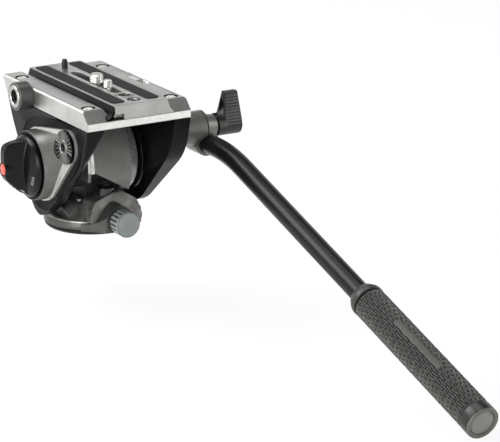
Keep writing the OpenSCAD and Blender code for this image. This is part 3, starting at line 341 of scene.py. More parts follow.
# Steel: grey, with fine rings where it was turned, and nearly black in the bushes' threads, as painted
# shade inside their bores
STEEL = Finish("turned_steel", "#9C9C9A", "#8A8A88", 0.32, 1.0, Grain.TURNED, 0.8, 0.01, turn_axis="Z")
SATIN_STEEL = Finish("satin_steel_ring", "#B4B4B1", "#A6A6A3", 0.36, 1.0, Grain.SMOOTH, 0.8, 0.004)
THREAD_SHADE_STEEL = Finish("blued_steel_thread", "#2E2E30", "#242426", 0.34, 1.0, Grain.SMOOTH, 0.8, 0.004)
SPRING_STEEL = Finish("spring_steel", "#B4B4B0", "#9C9C98", 0.28, 1.0, Grain.SMOOTH, 0.8, 0.004)
# Brass and sintered bronze: warm yellow, bright from the lathe and duller from the press
BRASS = Finish("turned_brass", "#B5893F", "#A67B35", 0.28, 1.0, Grain.TURNED, 0.8, 0.01, turn_axis="Z")
BRONZE = Finish("sintered_bronze", "#B58A4C", "#9C7440", 0.45, 1.0, Grain.BLASTED, 0.7, 0.02)
# Metallic lacquer on die-cast alloy: graphite grey that goes from bright to black as it turns away
SHOULDER_LACQUER = Finish(
    "graphite_lacquer_shoulder", "#969693", "#5A5A58", 0.30, 0.75, Grain.BLASTED, 1.3, 0.03, 9.0)
RING_LACQUER = Finish(
    "graphite_lacquer_ring", "#545452", "#424240", 0.38, 0.55, Grain.BLASTED, 1.0, 0.010, 12.0)
COVER_LACQUER = Finish(
    "graphite_lacquer_cover", "#6A6A68", "#5C5C5A", 0.40, 0.6, Grain.BLASTED, 1.2, 0.016)
DRUM_LACQUER = Finish(
    "graphite_lacquer_drum", "#747472", "#666664", 0.50, 0.25, Grain.BLASTED, 1.1, 0.014)
BOSS_LACQUER = Finish(
    "graphite_lacquer_boss", "#5C5C5A", "#505050", 0.36, 0.6, Grain.BLASTED, 1.0, 0.010)
ROSETTE_LACQUER = Finish(
    "bright_lacquer_rosette", "#8C8C8A", "#7C7C7A", 0.36, 0.8, Grain.BLASTED, 0.9, 0.006)
HUB_LACQUER = Finish("grey_lacquer_hub", "#7C7C7A", "#6E6E6C", 0.38, 0.6, Grain.BLASTED, 0.9, 0.008)
EYELET_LACQUER = Finish("grey_lacquer_eyelet", "#C4C4C1", "#B4B4B1", 0.34, 1.0, Grain.BLASTED, 0.9, 0.008)
# Plain lacquer: light grey and glossy on the drum's end, where the light grey is a painted reflection on
# glossy black; elsewhere black with an even sheen
DRUM_PAINTED_SHEEN = Finish("gloss_lacquer_drum_painted_sheen", "#A4A4A6", "#949496", 0.26, 0.4, Grain.SMOOTH, 1.4, 0.004)
FOOT_LACQUER = Finish(
    "black_lacquer_foot", "#1C1C1B", "#161615", 0.42, 0.3, Grain.BLASTED, 1.0, 0.010, ior=1.35)
CASTING_LACQUER = Finish(
    "black_lacquer_casting", "#3A3A38", "#303030", 0.48, 0.3, Grain.BLASTED, 1.2, 0.03)
TUBE_LACQUER = Finish(
    "black_lacquer_tube", "#121211", "#0E0E0D", 0.30, 0.0, Grain.MOULDED, 1.0, 0.004, ior=1.3)
PIN_LACQUER = Finish("blue_black_lacquer_pin", "#26262C", "#1E1E24", 0.30, 0.3, Grain.SMOOTH, 0.9, 0.004)
# Glass-filled nylon, moulded in a satin tool: deep black or grey with a soft broad sheen
CHEEK_NYLON = Finish(
    "black_nylon_cheek", "#0C0C0C", "#090909", 0.34, 0.0, Grain.MOULDED, 1.0, 0.010, ior=1.24)
# The same matt black also makes the painted shade that lines the screw counterbores and rings the eyelet
# and the end screw
BAND_NYLON = Finish(
    "matt_nylon_cheek_band", "#0A0A0A", "#080808", 0.45, 0.0, Grain.MOULDED, 1.0, 0.012, ior=1.18)
LEVER_NYLON = Finish(
    "black_nylon_lever", "#181817", "#131312", 0.42, 0.0, Grain.MOULDED, 0.9, 0.02, ior=1.4)
CLAMP_NYLON = Finish("grey_nylon_clamp", "#72726F", "#666663", 0.32, 0.4, Grain.MOULDED, 1.0, 0.010)
WING_NYLON = Finish("grey_nylon_wing_painted_groove_shade", "#444441", "#3C3C39", 0.40, 0.0, Grain.MOULDED, 0.9, 0.02)
KNOB_NYLON = Finish("slate_nylon_knob", "#868C8A", "#7A807E", 0.42, 0.0, Grain.MOULDED, 0.9, 0.015)
CAP_NYLON = Finish("grey_nylon_cap", "#84847F", "#7C7C77", 0.48, 0.0, Grain.MOULDED, 0.9, 0.02)
RING_NYLON = Finish("grey_nylon_end_ring", "#62625E", "#595955", 0.44, 0.0, Grain.MOULDED, 0.9, 0.02)
COLLAR_NYLON = Finish("black_nylon_collar", "#2C2C2A", "#262624", 0.42, 0.0, Grain.MOULDED, 0.9, 0.015)
# Glossy ABS: black or red, with sharp highlights
KNOB_GLOSS = Finish("gloss_abs_knob", "#0C0C0B", "#090909", 0.22, 0.0, Grain.MOULDED, 1.4, 0.005, ior=1.3)
DISC_GLOSS = Finish("gloss_abs_disc", "#0A0A0A", "#080808", 0.24, 0.0, Grain.SMOOTH, 1.4, 0.004, ior=1.4)
LEVEL_GLOSS = Finish("gloss_abs_level", "#1A1A19", "#151514", 0.22, 0.0, Grain.SMOOTH, 1.2, 0.004, coat=0.4)
RED_GLOSS = Finish("gloss_abs_red", "#CC3A22", "#BC321C", 0.20, 0.0, Grain.SMOOTH, 1.2, 0.003, coat=0.6)
# Pad-printed ink: pale grey without a shine
TICK_PAINT = Finish("dull_pad_printed_ink", "#A2A29E", "#94948F", 0.55, 0.0, Grain.MOULDED, 0.8, 0.01)
# Rubber: black on the pads; dark grey on the grip, with black painted shade in the furrows between its
# scales; a black band of painted shade round the end cap's side
PAD_RUBBER = Finish("ribbed_rubber_pad", "#1C1C1B", "#171716", 0.62, 0.0, Grain.BRUSHED, 1.0, 0.05, ior=1.3)
GRIP_RUBBER = Finish("moulded_rubber_grip_painted_shade", "#474743", "#3C3C39", 0.46, 0.0, Grain.MOULDED, 0.8, 0.02)
SHADE_BAND_RUBBER = Finish("smooth_rubber_band_painted_shade", "#161614", "#121210", 0.36, 0.0, Grain.MOULDED, 0.8, 0.01)
# Glass and fluid of the level: clear, over a bright yellow green
VIAL_GLASS = ClearFinish("level_glass", "#F4F7EC")
LEVEL_FLUID = Finish("level_fluid", "#9DAE3C", "#8A9C30", 0.15, 0.0, Grain.SMOOTH, 2.0, 0.0, coat=0.6)


@dataclass(frozen=True)
class Axes:
    """A place with a direction: local Z runs along, local X runs to the side."""

    origin: Point
    along: Point
    side: Point

    def put(self, points: np.ndarray) -> np.ndarray:
        """Moves local points into the head's frame.

        Args:
            points: an array whose last axis is local X, Y and Z.

        Returns:
            The same points in the frame.
        """
        along = np.array(self.along, float)
        side = np.array(self.side, float)
        return np.array(self.origin) + points @ np.stack([side, np.cross(along, side), along])


# Directions of turned pieces: along, and to the side
UP: Ways = ((0.0, 0.0, 1.0), (1.0, 0.0, 0.0))
BACK: Ways = ((0.0, -1.0, 0.0), (1.0, 0.0, 0.0))
LEFT: Ways = ((-1.0, 0.0, 0.0), (0.0, 1.0, 0.0))
RIGHT: Ways = ((1.0, 0.0, 0.0), (0.0, 1.0, 0.0))


class Ends(Enum):
    """How a shell's first and last rows are closed."""

    POLES = "a fan to a point in the middle of the row"
    LOOP = "the last row joins the first"


def shell(rows: np.ndarray, ends: Ends) -> tuple[np.ndarray, list]:
    """Makes a closed shell of a grid of points whose columns go round.

    Args:
        rows: an array of rows by columns by three.
        ends: how the first and last rows are closed.

    Returns:
        The vertices, and the faces as lists of vertex numbers.
    """
    count, round_count = rows.shape[:2]
    first = np.arange(count if ends is Ends.LOOP else count - 1)[:, None]
    here = np.arange(round_count)[None, :]
    after = (here + 1) % round_count
    above = (first + 1) % count
    corners = [first * round_count + here, first * round_count + after,
               above * round_count + after, above * round_count + here]
    faces = np.stack(np.broadcast_arrays(*corners), -1).reshape(-1, 4).tolist()
    points = rows.reshape(-1, 3)
    if ends is Ends.LOOP:
        return points, faces
    points = np.concatenate([points, rows[0].mean(0)[None], rows[-1].mean(0)[None]])
    low, high = len(points) - 2, len(points) - 1
    last = (count - 1) * round_count
    fan_low = np.stack(np.broadcast_arrays(low, after[0], here[0]), -1)
    fan_high = np.stack(np.broadcast_arrays(high, last + here[0], last + after[0]), -1)
    return points, faces + fan_low.tolist() + fan_high.tolist()


def mesh_of(name: str, shells: list[tuple[np.ndarray, list]]) -> bpy.types.Mesh:
    """Puts closed shells into one mesh, with faces that point outwards and smooth shading.

    Args:
        name: the mesh's name.
        shells: vertices and faces of each shell.

    Returns:
        The mesh.
    """
    points, faces, start = [], [], 0
    for verts, polys in shells:
        points.append(verts)
        faces += [[start + i for i in poly] for poly in polys]
        start += len(verts)
    mesh = bpy.data.meshes.new(name)
    mesh.from_pydata(np.concatenate(points).tolist(), [], faces)
    work = bmesh.new()
    work.from_mesh(mesh)
    bmesh.ops.remove_doubles(work, verts=work.verts, dist=1e-7)
    bmesh.ops.recalc_face_normals(work, faces=work.faces)
    work.to_mesh(mesh)
    work.free()
    return mesh


def add_piece(name: str, mesh: bpy.types.Mesh, node: str, finish: Finish | ClearFinish,
              stands_for: bool = True, sharp_deg: float = 38.0) -> bpy.types.Object:
    """Makes a piece of a mesh and lets it ride on the body of a node.

    Args:
        name: the piece's name.
        mesh: its mesh, already in place.
        node: the node that it stands for or sits on.
        finish: its finish.
        stands_for: whether the node is hidden.
        sharp_deg: edges that turn by more than this stay sharp.

    Returns:
        The piece.
    """
    piece = bpy.data.objects.new(name, mesh)
    bpy.context.scene.collection.objects.link(piece)
    mesh.materials.clear()
    mesh.materials.append(finish.material())
    mesh.shade_smooth()
    mesh.set_sharp_from_angle(angle=math.radians(sharp_deg))
    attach(piece, frame["nodes"][node]["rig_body"])
    if stands_for:
        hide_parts(node)
    LOG.info("%s: %d faces, %s", name, len(mesh.polygons), finish.name)
    return piece


def shell_piece(name: str, rows: np.ndarray, ends: Ends, node: str, finish: Finish | ClearFinish,
                **looks: object) -> bpy.types.Object:
    """Makes a piece of one closed shell.

    Args:
        name: the piece's name.
        rows: the shell's grid of points.
        ends: how its first and last rows are closed.
        node: the node that it stands for or sits on.
        finish: its finish.
        looks: what add_piece takes besides.

    Returns:
        The piece.
    """
    mesh = mesh_of(name.removesuffix("_piece"), [shell(rows, ends)])
    return add_piece(name, mesh, node, finish, **looks)


def dress_node(node: str, finish: Finish | ClearFinish) -> None:
    """Gives a node that keeps its own shape a finish.

    Args:
        node: the node.
        finish: its finish.
    """
    mesh = frame["nodes"][node].data
    mesh.materials.clear()
    mesh.materials.append(finish.material())
    LOG.info("%s: %s", node, finish.name)


def merged(node: str) -> bpy.types.Mesh:
    """Copies a node's mesh, with its triangles merged and its flat faces made whole.

    Args:
        node: the node.

    Returns:
        The copy.
    """
    work = bmesh.new()
    work.from_mesh(frame["nodes"][node].data)
    bmesh.ops.remove_doubles(work, verts=work.verts, dist=2e-6)
    bmesh.ops.dissolve_limit(work, angle_limit=math.radians(0.4), verts=work.verts, edges=work.edges)
    mesh = bpy.data.meshes.new(node + "_shell")
    work.to_mesh(mesh)
    work.free()
    return mesh


def soften(node: str, finish: Finish, edge_mm: float = 0.4, steps: int = 2,
           mesh: bpy.types.Mesh | None = None) -> bpy.types.Object:
    """Stands a copy of a node with rounded edges in for it.

    Each edge that turns by more than EDGE_DEG becomes a small arc.

    Args:
        node: the node.
        finish: the copy's finish.
        edge_mm: how far the arc reaches from the edge.
        steps: the arc's faces.
        mesh: the copy, where it was cut before.

    Returns:
        The piece.
    """
    piece = add_piece(node + "_piece", mesh or merged(node), node, finish)
    edge = piece.modifiers.new("rounded edges", "BEVEL")
    edge.width = edge_mm * MM
    edge.segments = steps
    edge.limit_method = "ANGLE"
    edge.angle_limit = math.radians(EDGE_DEG)
    edge.harden_normals = True
    return piece


def rounded(corners: list, reach: float, steps: int = 4, closed: bool = False) -> np.ndarray:
    """Rounds the corners of a flat outline by parabolas.

    A point of the curve is (1-t)^2 s + 2t(1-t) b + t^2 e, with s and e at the reach from corner b on
    its two edges, and the reach is at most 0.45 of either edge.

    Args:
        corners: the outline's corners as pairs.
        reach: the distance from the corner where the rounding starts.
        steps: points in a rounding less one.
        closed: whether the last corner joins the first.

    Returns:
        The rounded outline as an array of pairs.
    """
    point = np.array(corners, float)
    to_last = np.roll(point, 1, 0) - point
    to_next = np.roll(point, -1, 0) - point
    last_len = np.linalg.norm(to_last, axis=1, keepdims=True)
    next_len = np.linalg.norm(to_next, axis=1, keepdims=True)
    span = np.minimum(reach, 0.45 * np.minimum(last_len, next_len))
    start = point + to_last / last_len * span
    end = point + to_next / next_len * span
    t = np.linspace(0, 1, steps + 1)[None, :, None]
    curve = (1 - t) ** 2 * start[:, None] + 2 * t * (1 - t) * point[:, None] + t ** 2 * end[:, None]
    if closed:
        return curve.reshape(-1, 2)
    return np.concatenate([point[:1], curve[1:-1].reshape(-1, 2), point[-1:]])


def round_angles(columns: int) -> np.ndarray:
    """Even angles round a circle, one for each column."""
    return np.linspace(0, TAU, columns, endpoint=False)


def around(r: np.ndarray, z: np.ndarray, u: np.ndarray) -> np.ndarray:
    """Points about local Z: x = r cos u, y = r sin u, and z, with each array spread over the others."""
    return np.stack(np.broadcast_arrays(r * np.cos(u), r * np.sin(u), z), -1)


def turned(profile: np.ndarray, columns: int = TURNED_COLUMNS) -> np.ndarray:
    """Turns an outline about local Z.

    Args:
        profile: pairs of radius and height.
        columns: points round the axis.

    Returns:
        Rows of points, one row for each pair.
    """
    return around(profile[:, :1], profile[:, 1:], round_angles(columns))


def smooth_step(value: np.ndarray) -> np.ndarray:
    """Eases from zero to one: 3t^2 - 2t^3 with t held between zero and one."""
    t = np.clip(value, 0, 1)
    return t * t * (3 - 2 * t)


def thread_wave(turns: np.ndarray) -> np.ndarray:
    """A sixty degree thread's flank, zero at the root and one at the crest, once for each turn."""
    return np.clip(1.25 - 2.5 * np.abs(turns % 1 - 0.5), 0, 1)


def cut(base: bpy.types.Mesh, other: bpy.types.Mesh) -> bpy.types.Mesh:
    """Cuts a closed mesh from another.

    Args:
        base: the mesh that stays.
        other: the mesh that is cut away.

    Returns:
        The new mesh.
    """
    bodies = [bpy.data.objects.new("work", mesh) for mesh in (base, other)]
    for body in bodies:
        bpy.context.scene.collection.objects.link(body)
    step = bodies[0].modifiers.new("cut", "BOOLEAN")
    step.operation = "DIFFERENCE"
    step.solver = "EXACT"
    step.object = bodies[1]
    bpy.context.view_layer.update()
    shown = bodies[0].evaluated_get(bpy.context.evaluated_depsgraph_get())
    made = bpy.data.meshes.new_from_object(shown)
    made.name = base.name
    for body in bodies:
        bpy.data.objects.remove(body)
    return made


def box_mesh(name: str, low: tuple, high: tuple,
             axes: Axes = Axes((0.0, 0.0, 0.0), *UP)) -> bpy.types.Mesh:
    """Makes a plain block between two corners.

    Args:
        name: the mesh's name.
        low: the corner with the smallest coordinates.
        high: the corner with the largest.
        axes: the frame that the corners are in.

    Returns:
        The mesh.
    """
    ring = np.array([[0, 0], [1, 0], [1, 1], [0, 1]], float)
    span = np.array(high, float) - np.array(low, float)
    rows = np.stack([np.column_stack([ring, np.full(4, z)]) for z in (0.0, 1.0)])
    return mesh_of(name, [shell(axes.put(np.array(low, float) + rows * span), Ends.POLES)])


def middle(node: str) -> np.ndarray:
    """The middle of a node's box."""
    low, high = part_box(node)
    return np.array((low + high) / 2)


def spread(node: str) -> np.ndarray:
    """The size of a node's box."""
    low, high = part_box(node)
    return np.array(high - low)


def upright(node: str) -> Axes:
    """A node's vertical axis, from the middle of its foot."""
    low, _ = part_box(node)
    return Axes((*middle(node)[:2], low.z), *UP)


def threaded_bush(node: str, mount: str, ways: Ways, pitch: float, finish: Finish, lining: Finish) -> None:
    """Stands a bush with a real inner thread in for a node.

    The bore's radius is the mount's less the thread's depth times thread_wave(height / pitch - u / 2 pi).
    The thread is a thin lining of its own, so that its finish may differ from the bush's.

    Args:
        node: the plain bush.
        mount: the mount in the middle of its mouth, which gives the thread's root radius.
        ways: the direction inwards and one to the side.
        pitch: the thread's pitch.
        finish: the bush's finish.
        lining: the thread's finish.
    """
    axes = Axes(tuple(MOUNT[mount]["pos_m"]), *ways)
    bore_r = MOUNT[mount]["dims"]["r_mm"] * MM
    along = np.abs(np.array(axes.along))
    length = float(spread(node) @ along)
    outer_r = float(np.sort(spread(node) @ np.diag(1 - along))[-1]) / 2
    edge = 0.5 * MM
    depth = 0.54 * pitch
    rows_per_turn = 9
    u = round_angles(COLUMNS)
    wall = bore_r + 0.3 * MM
    z = np.linspace(edge, length - edge, int(length / pitch * rows_per_turn))[:, None]
    ease = smooth_step((z - edge) / pitch) * smooth_step((length - edge - z) / pitch)
    inner = around(bore_r - depth * thread_wave(z / pitch - u / TAU) * ease, z, u)
    back = turned(np.array([[wall, length - edge], [wall, edge]]), COLUMNS)
    shell_piece(node + "_thread", axes.put(np.concatenate([inner, back])), Ends.LOOP, node, lining,
                stands_for=False)
    ring = turned(np.array([
        [wall, edge], [wall, length - edge], [wall + edge, length], [outer_r - edge, length],
        [outer_r, length - edge], [outer_r, edge], [outer_r - edge, 0], [wall + edge, 0]]), COLUMNS)
    shell_piece(node + "_piece", axes.put(ring), Ends.LOOP, node, finish)


def coil(node: str, turns: float, wire_r: float) -> None:
    """Stands a wire coil in for a node.

    A point is at the coil's radius, at angle 2 pi times turns times t and at height t, plus the wire's
    radius in the two directions across the wire.

    Args:
        node: the plain spring.
        turns: turns of the wire.
        wire_r: the wire's radius.
    """
    low, high = (np.array(corner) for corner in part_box(node))
    centre = (low + high) / 2
    radius = (high[1] - low[1]) / 2 - wire_r
    rows_per_turn, wire_columns = 24, 10
    t = np.linspace(0, 1, int(turns * rows_per_turn))[:, None]
    angle = TAU * turns * t
    across = round_angles(wire_columns)
    ring = radius + wire_r * np.cos(across)
    height = low[2] + wire_r + (high[2] - low[2] - 2 * wire_r) * t + wire_r * np.sin(across)
    rows = np.stack([centre[0] + ring * np.cos(angle), centre[1] + ring * np.sin(angle), height], -1)
    piece = add_piece(node + "_coil", mesh_of(node, [shell(rows, Ends.POLES)]), node, SPRING_STEEL)
    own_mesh(piece)


@dataclass
class Base:
    """Fixed foot with the spindle, its nut and the tripod thread."""

    thread_pitch: float = 25.4 * MM / 16

    def build(self) -> None:
        """Cuts the tripod's thread into its bush."""
        threaded_bush("tripod_thread_bush", "tripod_thread", UP, self.thread_pitch, BRASS, BRASS)

    def dress(self) -> None:
        """Finishes the foot and what turns inside it."""
        soften("base_disc", FOOT_LACQUER, 0.5)
        dress_node("pan_spindle", STEEL)
        dress_node("spindle_nut", STEEL)


@dataclass
class Turntable:
    """Turning base with its shoulder, the level and the tilt drum."""

    dome: float = 0.9 * MM
    lip: float = 0.6 * MM
    fluid_fit: float = 0.96
    glass_fit: float = 0.97
    ring_r: float = 2.5 * MM
    ring_w: float = 0.22 * MM
    ring_h: float = 0.1 * MM
    flange_split: float = 46.4 * MM
    flange_foot: float = 40.0 * MM
    rim_step: float = 1.08 * MM
    rim_w: float = 2.4 * MM
    rim_sink: float = 0.2 * MM
    rim_columns: int = 180

    def build(self) -> None:
        """Makes the bubble level: cup, fluid, domed glass and the ring under it."""
        axes = upright("level_cup")
        outer_r, _, height = spread("level_cup") * (0.5, 0.5, 1)
        glass_r = spread("level_vial")[0] / 2
        well = height - 4 * self.dome
        cup = rounded([
            (0, 0), (outer_r, 0), (outer_r, height), (glass_r, height), (glass_r, well),
            (0, well)], self.lip)
        shell_piece("level_cup_piece", axes.put(turned(cup[1:-1])), Ends.POLES, "level_cup", LEVEL_GLOSS)
        floor = height - 3.6 * self.dome
        fluid_r, brim = glass_r * self.fluid_fit, floor + self.dome
        fluid = rounded([(0, floor), (fluid_r, floor), (fluid_r, brim), (0, brim)], self.lip / 2)
        shell_piece("level_fluid", axes.put(turned(fluid[1:-1])), Ends.POLES, "level_vial", LEVEL_FLUID,
                    stands_for=False)
        bend = np.linspace(0, TAU, 10)
        wide = glass_r * self.glass_fit
        top = np.column_stack([wide * np.cos(bend / 4),
                               height - self.lip - self.dome * (1 - np.sin(bend / 4))])
        glass = np.concatenate([[[wide, floor + 1.2 * self.dome]], top[:-1]])
        shell_piece("level_glass", axes.put(turned(glass)), Ends.POLES, "level_vial", VIAL_GLASS)
        ring = np.column_stack([self.ring_r + self.ring_w * np.cos(bend),
                                floor + 1.05 * self.dome + self.ring_h * np.sin(bend)])
        shell_piece("level_ring", axes.put(turned(ring[:-1])), Ends.LOOP, "level_vial", LEVEL_GLOSS,
                    stands_for=False)

    def dress(self) -> None:
        """Finishes the base, the pedestal and the drum."""
        soften("base_housing", RING_LACQUER, 0.6, 3)
        soften("shoulder_cover", SHOULDER_LACQUER, 0.7, 3)
        soften("pedestal", CASTING_LACQUER, 0.5)
        soften("pedestal_screws", STEEL, 0.2)
        soften("drum_cover", DRUM_LACQUER, 0.4)
        self.dress_flange()
        # The drum's light grey is a painted reflection
        soften("counterbalance_drum", DRUM_PAINTED_SHEEN, 0.4)
        dress_node("pan_bearing", BRONZE)
        dress_node("tilt_bearings", STEEL)
        dress_node("drag_cup", CASTING_LACQUER)

    def dress_flange(self) -> None:
        """Finishes the end flange: bright above flange_split, grey lacquer as painted shade down to
        flange_foot, then cut off.

        A raised bright rim runs round it above the split.
        """
        low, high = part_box("end_flange")
        near, far = (low.x - MM, low.y - MM), (high.x + MM, high.y + MM)
        split = self.flange_split
        below = box_mesh("below", (*near, low.z - MM), (*far, split))
        above = box_mesh("above", (*near, split), (*far, high.z + MM))
        foot = box_mesh("foot", (*near, low.z - MM), (*far, self.flange_foot))
        soften("end_flange", MACHINED_ALUMINIUM, 0.3, mesh=cut(merged("end_flange"), below))
        # Painted shade: below the split the flange is grey lacquer, a shaded copy of its bright part
        lower = cut(cut(merged("end_flange"), above), foot)
        add_piece("end_flange_shaded_foot", lower, "end_flange", HUB_LACQUER, stands_for=False)
        inner = high.z - TILT_AXIS[2]
        outer = inner + self.rim_step
        axes = Axes((high.x - self.rim_sink, *TILT_AXIS[1:]), *RIGHT)
        ring = np.array([[inner, 0], [outer, 0], [outer, self.rim_w], [inner, self.rim_w]])
        whole = shell(axes.put(turned(ring, self.rim_columns)), Ends.LOOP)
        under = box_mesh("under", (low.x - MM, low.y - 2 * MM, 2 * TILT_AXIS[2] - high.z - 3 * MM),
                         (high.x + 2 * self.rim_w, high.y + 2 * MM, split))
        add_piece("end_flange_rim", cut(mesh_of("end_flange_rim", [whole]), under), "end_flange",
                  MACHINED_ALUMINIUM, stands_for=False)


@dataclass
class PanLock:
    """Grooved knob that clamps the pan, with its stud."""

    groove_d: float = 0.65 * MM
    groove_edge: float = 0.2 * MM
    rim_w: float = 0.75 * MM
    face_sink: float = 0.3 * MM
    face_h: float = 0.04 * MM

    def build(self) -> None:
        """Finishes the knob with painted shade in each groove, lays its plain face and finishes the stud.
        """
        low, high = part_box("pan_lock_knob")
        centre = middle("pan_lock_knob")
        radius = (high.x - low.x) / 2
        axes = Axes((centre[0], low.y, centre[2]), *BACK)
        # Painted shade: near-black at the floor of each groove of the knob
        groove_shade = Hollow(axes.origin, axes.along, radius - self.groove_d, radius - self.groove_edge,
                         "#1A201F", across=True)
        soften("pan_lock_knob", replace(KNOB_NYLON, name="slate_nylon_knob_painted_groove_shade", hollow=groove_shade), 0.25)
        face_r = radius - self.rim_w
        face = np.array([[face_r, -self.face_sink], [face_r, self.face_h]])
        shell_piece("pan_lock_face", axes.put(turned(face)), Ends.POLES, "pan_lock_knob", KNOB_NYLON,
                    stands_for=False)
        dress_node("pan_lock_stud", BRASS)


@dataclass
class SideCover:
    """Pointed oval cover on the left cheek, with the cone that leads to the tilt lock knob."""

    big_r: float = 26.2 * MM
    small_r: float = 11.4 * MM
    small_at: tuple[float, float] = (-42 * MM, 22 * MM)
    foot_big_r: float = 25 * MM
    foot_small_r: float = 9.6 * MM
    foot_at: tuple[float, float] = (-33 * MM, 19.8 * MM)
    plate_t: float = 4 * MM
    cone_r: float = 24.6 * MM
    pocket_gap: float = 0.7 * MM
    pocket_d: float = 2 * MM
    hole_r: float = 4 * MM
    edge: float = 0.6 * MM
    rosette_room: float = 12.2 * MM
    band_span: tuple[float, float] = (0.15 * MM, 0.8 * MM)
    dish_w: float = 7 * MM
    dish_d: float = 1.5 * MM
    seal_inset: float = 0.5 * MM
    seal_lap: float = 0.2 * MM
    seal_h: float = 0.12 * MM
    columns: int = 360
    cheek_edge: tuple[tuple[float, float], ...] = (
        (-71, 86.6), (-64.3, 60.4), (-9, 14.4), (4, 8.8), (15, 14.4), (34, 56), (43.5, 71), (50.2, 86.6))

    def ways(self) -> np.ndarray:
        """Returns the direction of each column about the tilt axis, as an angle."""
        return round_angles(self.columns)

    def reach(self, big_r: float, small_r: float, small_at: tuple[float, float]) -> np.ndarray:
        """Distance from the tilt axis to an outline round two circles, for each direction.

        The outline holds all circles whose middle moves from the axis to small_at while the radius goes
        from big_r to small_r. In a direction at angle a from that line, the circle at share t reaches
        t D cos a + sqrt(r(t)^2 - (t D sin a)^2), and the outline is the largest of these.

        Args:
            big_r: radius of the circle on the axis.
            small_r: radius of the other circle.
            small_at: middle of the other circle, from the axis.

        Returns:
            One distance for each column.
        """
        t = np.linspace(0, 1, 160)[None, :]
        far = math.hypot(*small_at)
        turn = self.ways()[:, None] - math.atan2(small_at[1], small_at[0])
        radius = big_r + (small_r - big_r) * t
        room = radius ** 2 - (t * far * np.sin(turn)) ** 2
        ray = np.where(room >= 0, t * far * np.cos(turn) + np.sqrt(np.maximum(room, 0)), 0)
        return ray.max(1)

    def cheek_reach(self) -> np.ndarray:
        """Distance from the tilt axis to the cheek's edge, for each direction.

        A ray along d meets the edge from p to q at p x (q - p) / d x (q - p), with x the flat cross
        product.

        Returns:
            One distance for each column.
        """
        p = np.array(self.cheek_edge) * MM - np.array(TILT_AXIS[1:])
        side = np.roll(p, -1, 0) - p
        d = np.stack([np.cos(self.ways()), np.sin(self.ways())], -1)[:, None, :]
        over = d[..., 0] * side[:, 1] - d[..., 1] * side[:, 0]
        over = np.where(np.abs(over) < 1e-12, 1e-12, over)
        far = (p[:, 0] * side[:, 1] - p[:, 1] * side[:, 0]) / over
        along = (p[:, 0] * d[..., 1] - p[:, 1] * d[..., 0]) / over
        hit = (far > 0) & (along >= 0) & (along <= 1)
        return np.where(hit, far, 1.0).min(1)

    def place(self, rings: list) -> np.ndarray:
        """Turns rings of reach and depth into rows of points.

        Args:
            rings: pairs of the distance from the axis and of X, each one number or one for each column.

        Returns:
            Rows of points.
        """
        even = np.ones(self.columns)
        radius = np.stack([r * even for r, _ in rings])
        out = np.stack([x * even for _, x in rings])
        y = TILT_AXIS[1] + radius * np.cos(self.ways())
        return np.stack([out, y, TILT_AXIS[2] + radius * np.sin(self.ways())], -1)

    def round_over(self, reach: np.ndarray | float, x: float, bend: np.ndarray) -> list:
        """Rings of a quarter round edge on a side at the given reach, whose face is at x."""
        return [(reach - self.edge * (1 - math.cos(a)), x + self.edge * (1 - math.sin(a))) for a in bend]

    def build(self) -> None:
        """Makes the cover as rings of points, from its back edge over the cone into the knob's pocket."""
        low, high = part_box("left_cover")
        back_x, face_x, cone_x = high.x, high.x - self.plate_t, low.x
        rim = self.reach(self.big_r, self.small_r, self.small_at)
        foot = self.reach(self.foot_big_r, self.foot_small_r, self.foot_at)
        foot = np.minimum(foot, rim - 1.6 * self.edge)
        pocket_r = spread("tilt_lock_knob")[1] / 2 + self.pocket_gap
        floor_x = cone_x + self.pocket_d
        lip = 0.4 * self.edge
        bend = np.linspace(0, TAU / 4, 5)
        rings = [(rim, back_x)]
        rings += self.round_over(rim, face_x, bend)
        rings += [(rim + (foot - rim) * s, face_x) for s in (0.4, 0.7, 0.9)]
        rings += [(foot + (self.cone_r - foot) * s, face_x + (cone_x + self.edge - face_x) * s)
                  for s in np.linspace(0, 1, 30)]
        rings += self.round_over(self.cone_r, cone_x, bend[1:])
        rings += [(pocket_r + lip, cone_x), (pocket_r, cone_x + lip)]
        rings += [(pocket_r, floor_x), (0.6 * pocket_r, floor_x), (self.hole_r, floor_x)]
        rings += [(self.hole_r, back_x), (0.5 * rim, back_x)]
        body = mesh_of("left_cover", [shell(self.place(rings), Ends.LOOP)])
        _, ros_y, ros_z = JOINT["bar_angle"]["pos_m"]
        axes = Axes((face_x, ros_y, ros_z), *LEFT)
        room = turned(np.array([[self.rosette_room, 0], [self.rosette_room, 4 * self.plate_t]]))
        cutter = mesh_of("rosette_room", [shell(axes.put(room), Ends.POLES)])
        band = Hollow((face_x, 0.0, 0.0), axes.along, *self.band_span, "#C4C4C1")
        add_piece("left_cover_piece", cut(body, cutter), "left_cover", replace(COVER_LACQUER, hollow=band),
                  sharp_deg=16)
        self.build_dish(rim)
        self.build_seal(cone_x, pocket_r)

    def build_dish(self, rim: np.ndarray) -> None:
        """Makes the dished band of the cheek round the cover, which slopes down to the cover's edge.

        Args:
            rim: the cover's outline.
        """
        low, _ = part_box("left_cheek")
        inner = rim + 0.4 * MM
        wide = self.reach(self.big_r + self.dish_w, self.small_r + self.dish_w, self.small_at)
        outer = np.minimum(wide - 0.2 * MM, self.cheek_reach() - 1.0 * MM)
        outer = np.maximum(outer, inner + 0.3 * MM)
        top = low.x + self.dish_d * (1 - 0.94 * (outer - inner) / self.dish_w)
        floor = low.x + self.dish_d + 0.05 * MM
        deep = low.x + 0.96 * self.dish_d
        slope = np.linspace(0, 1, 9)[1:]
        rings = [(outer, floor), (outer, top)]
        rings += [(outer + (inner - outer) * s, top + (deep - top) * s ** 0.7) for s in slope]
        rings += [(inner, floor)]
        shell_piece("left_cheek_dish", self.place(rings), Ends.LOOP, "left_cheek", BAND_NYLON,
                    stands_for=False)

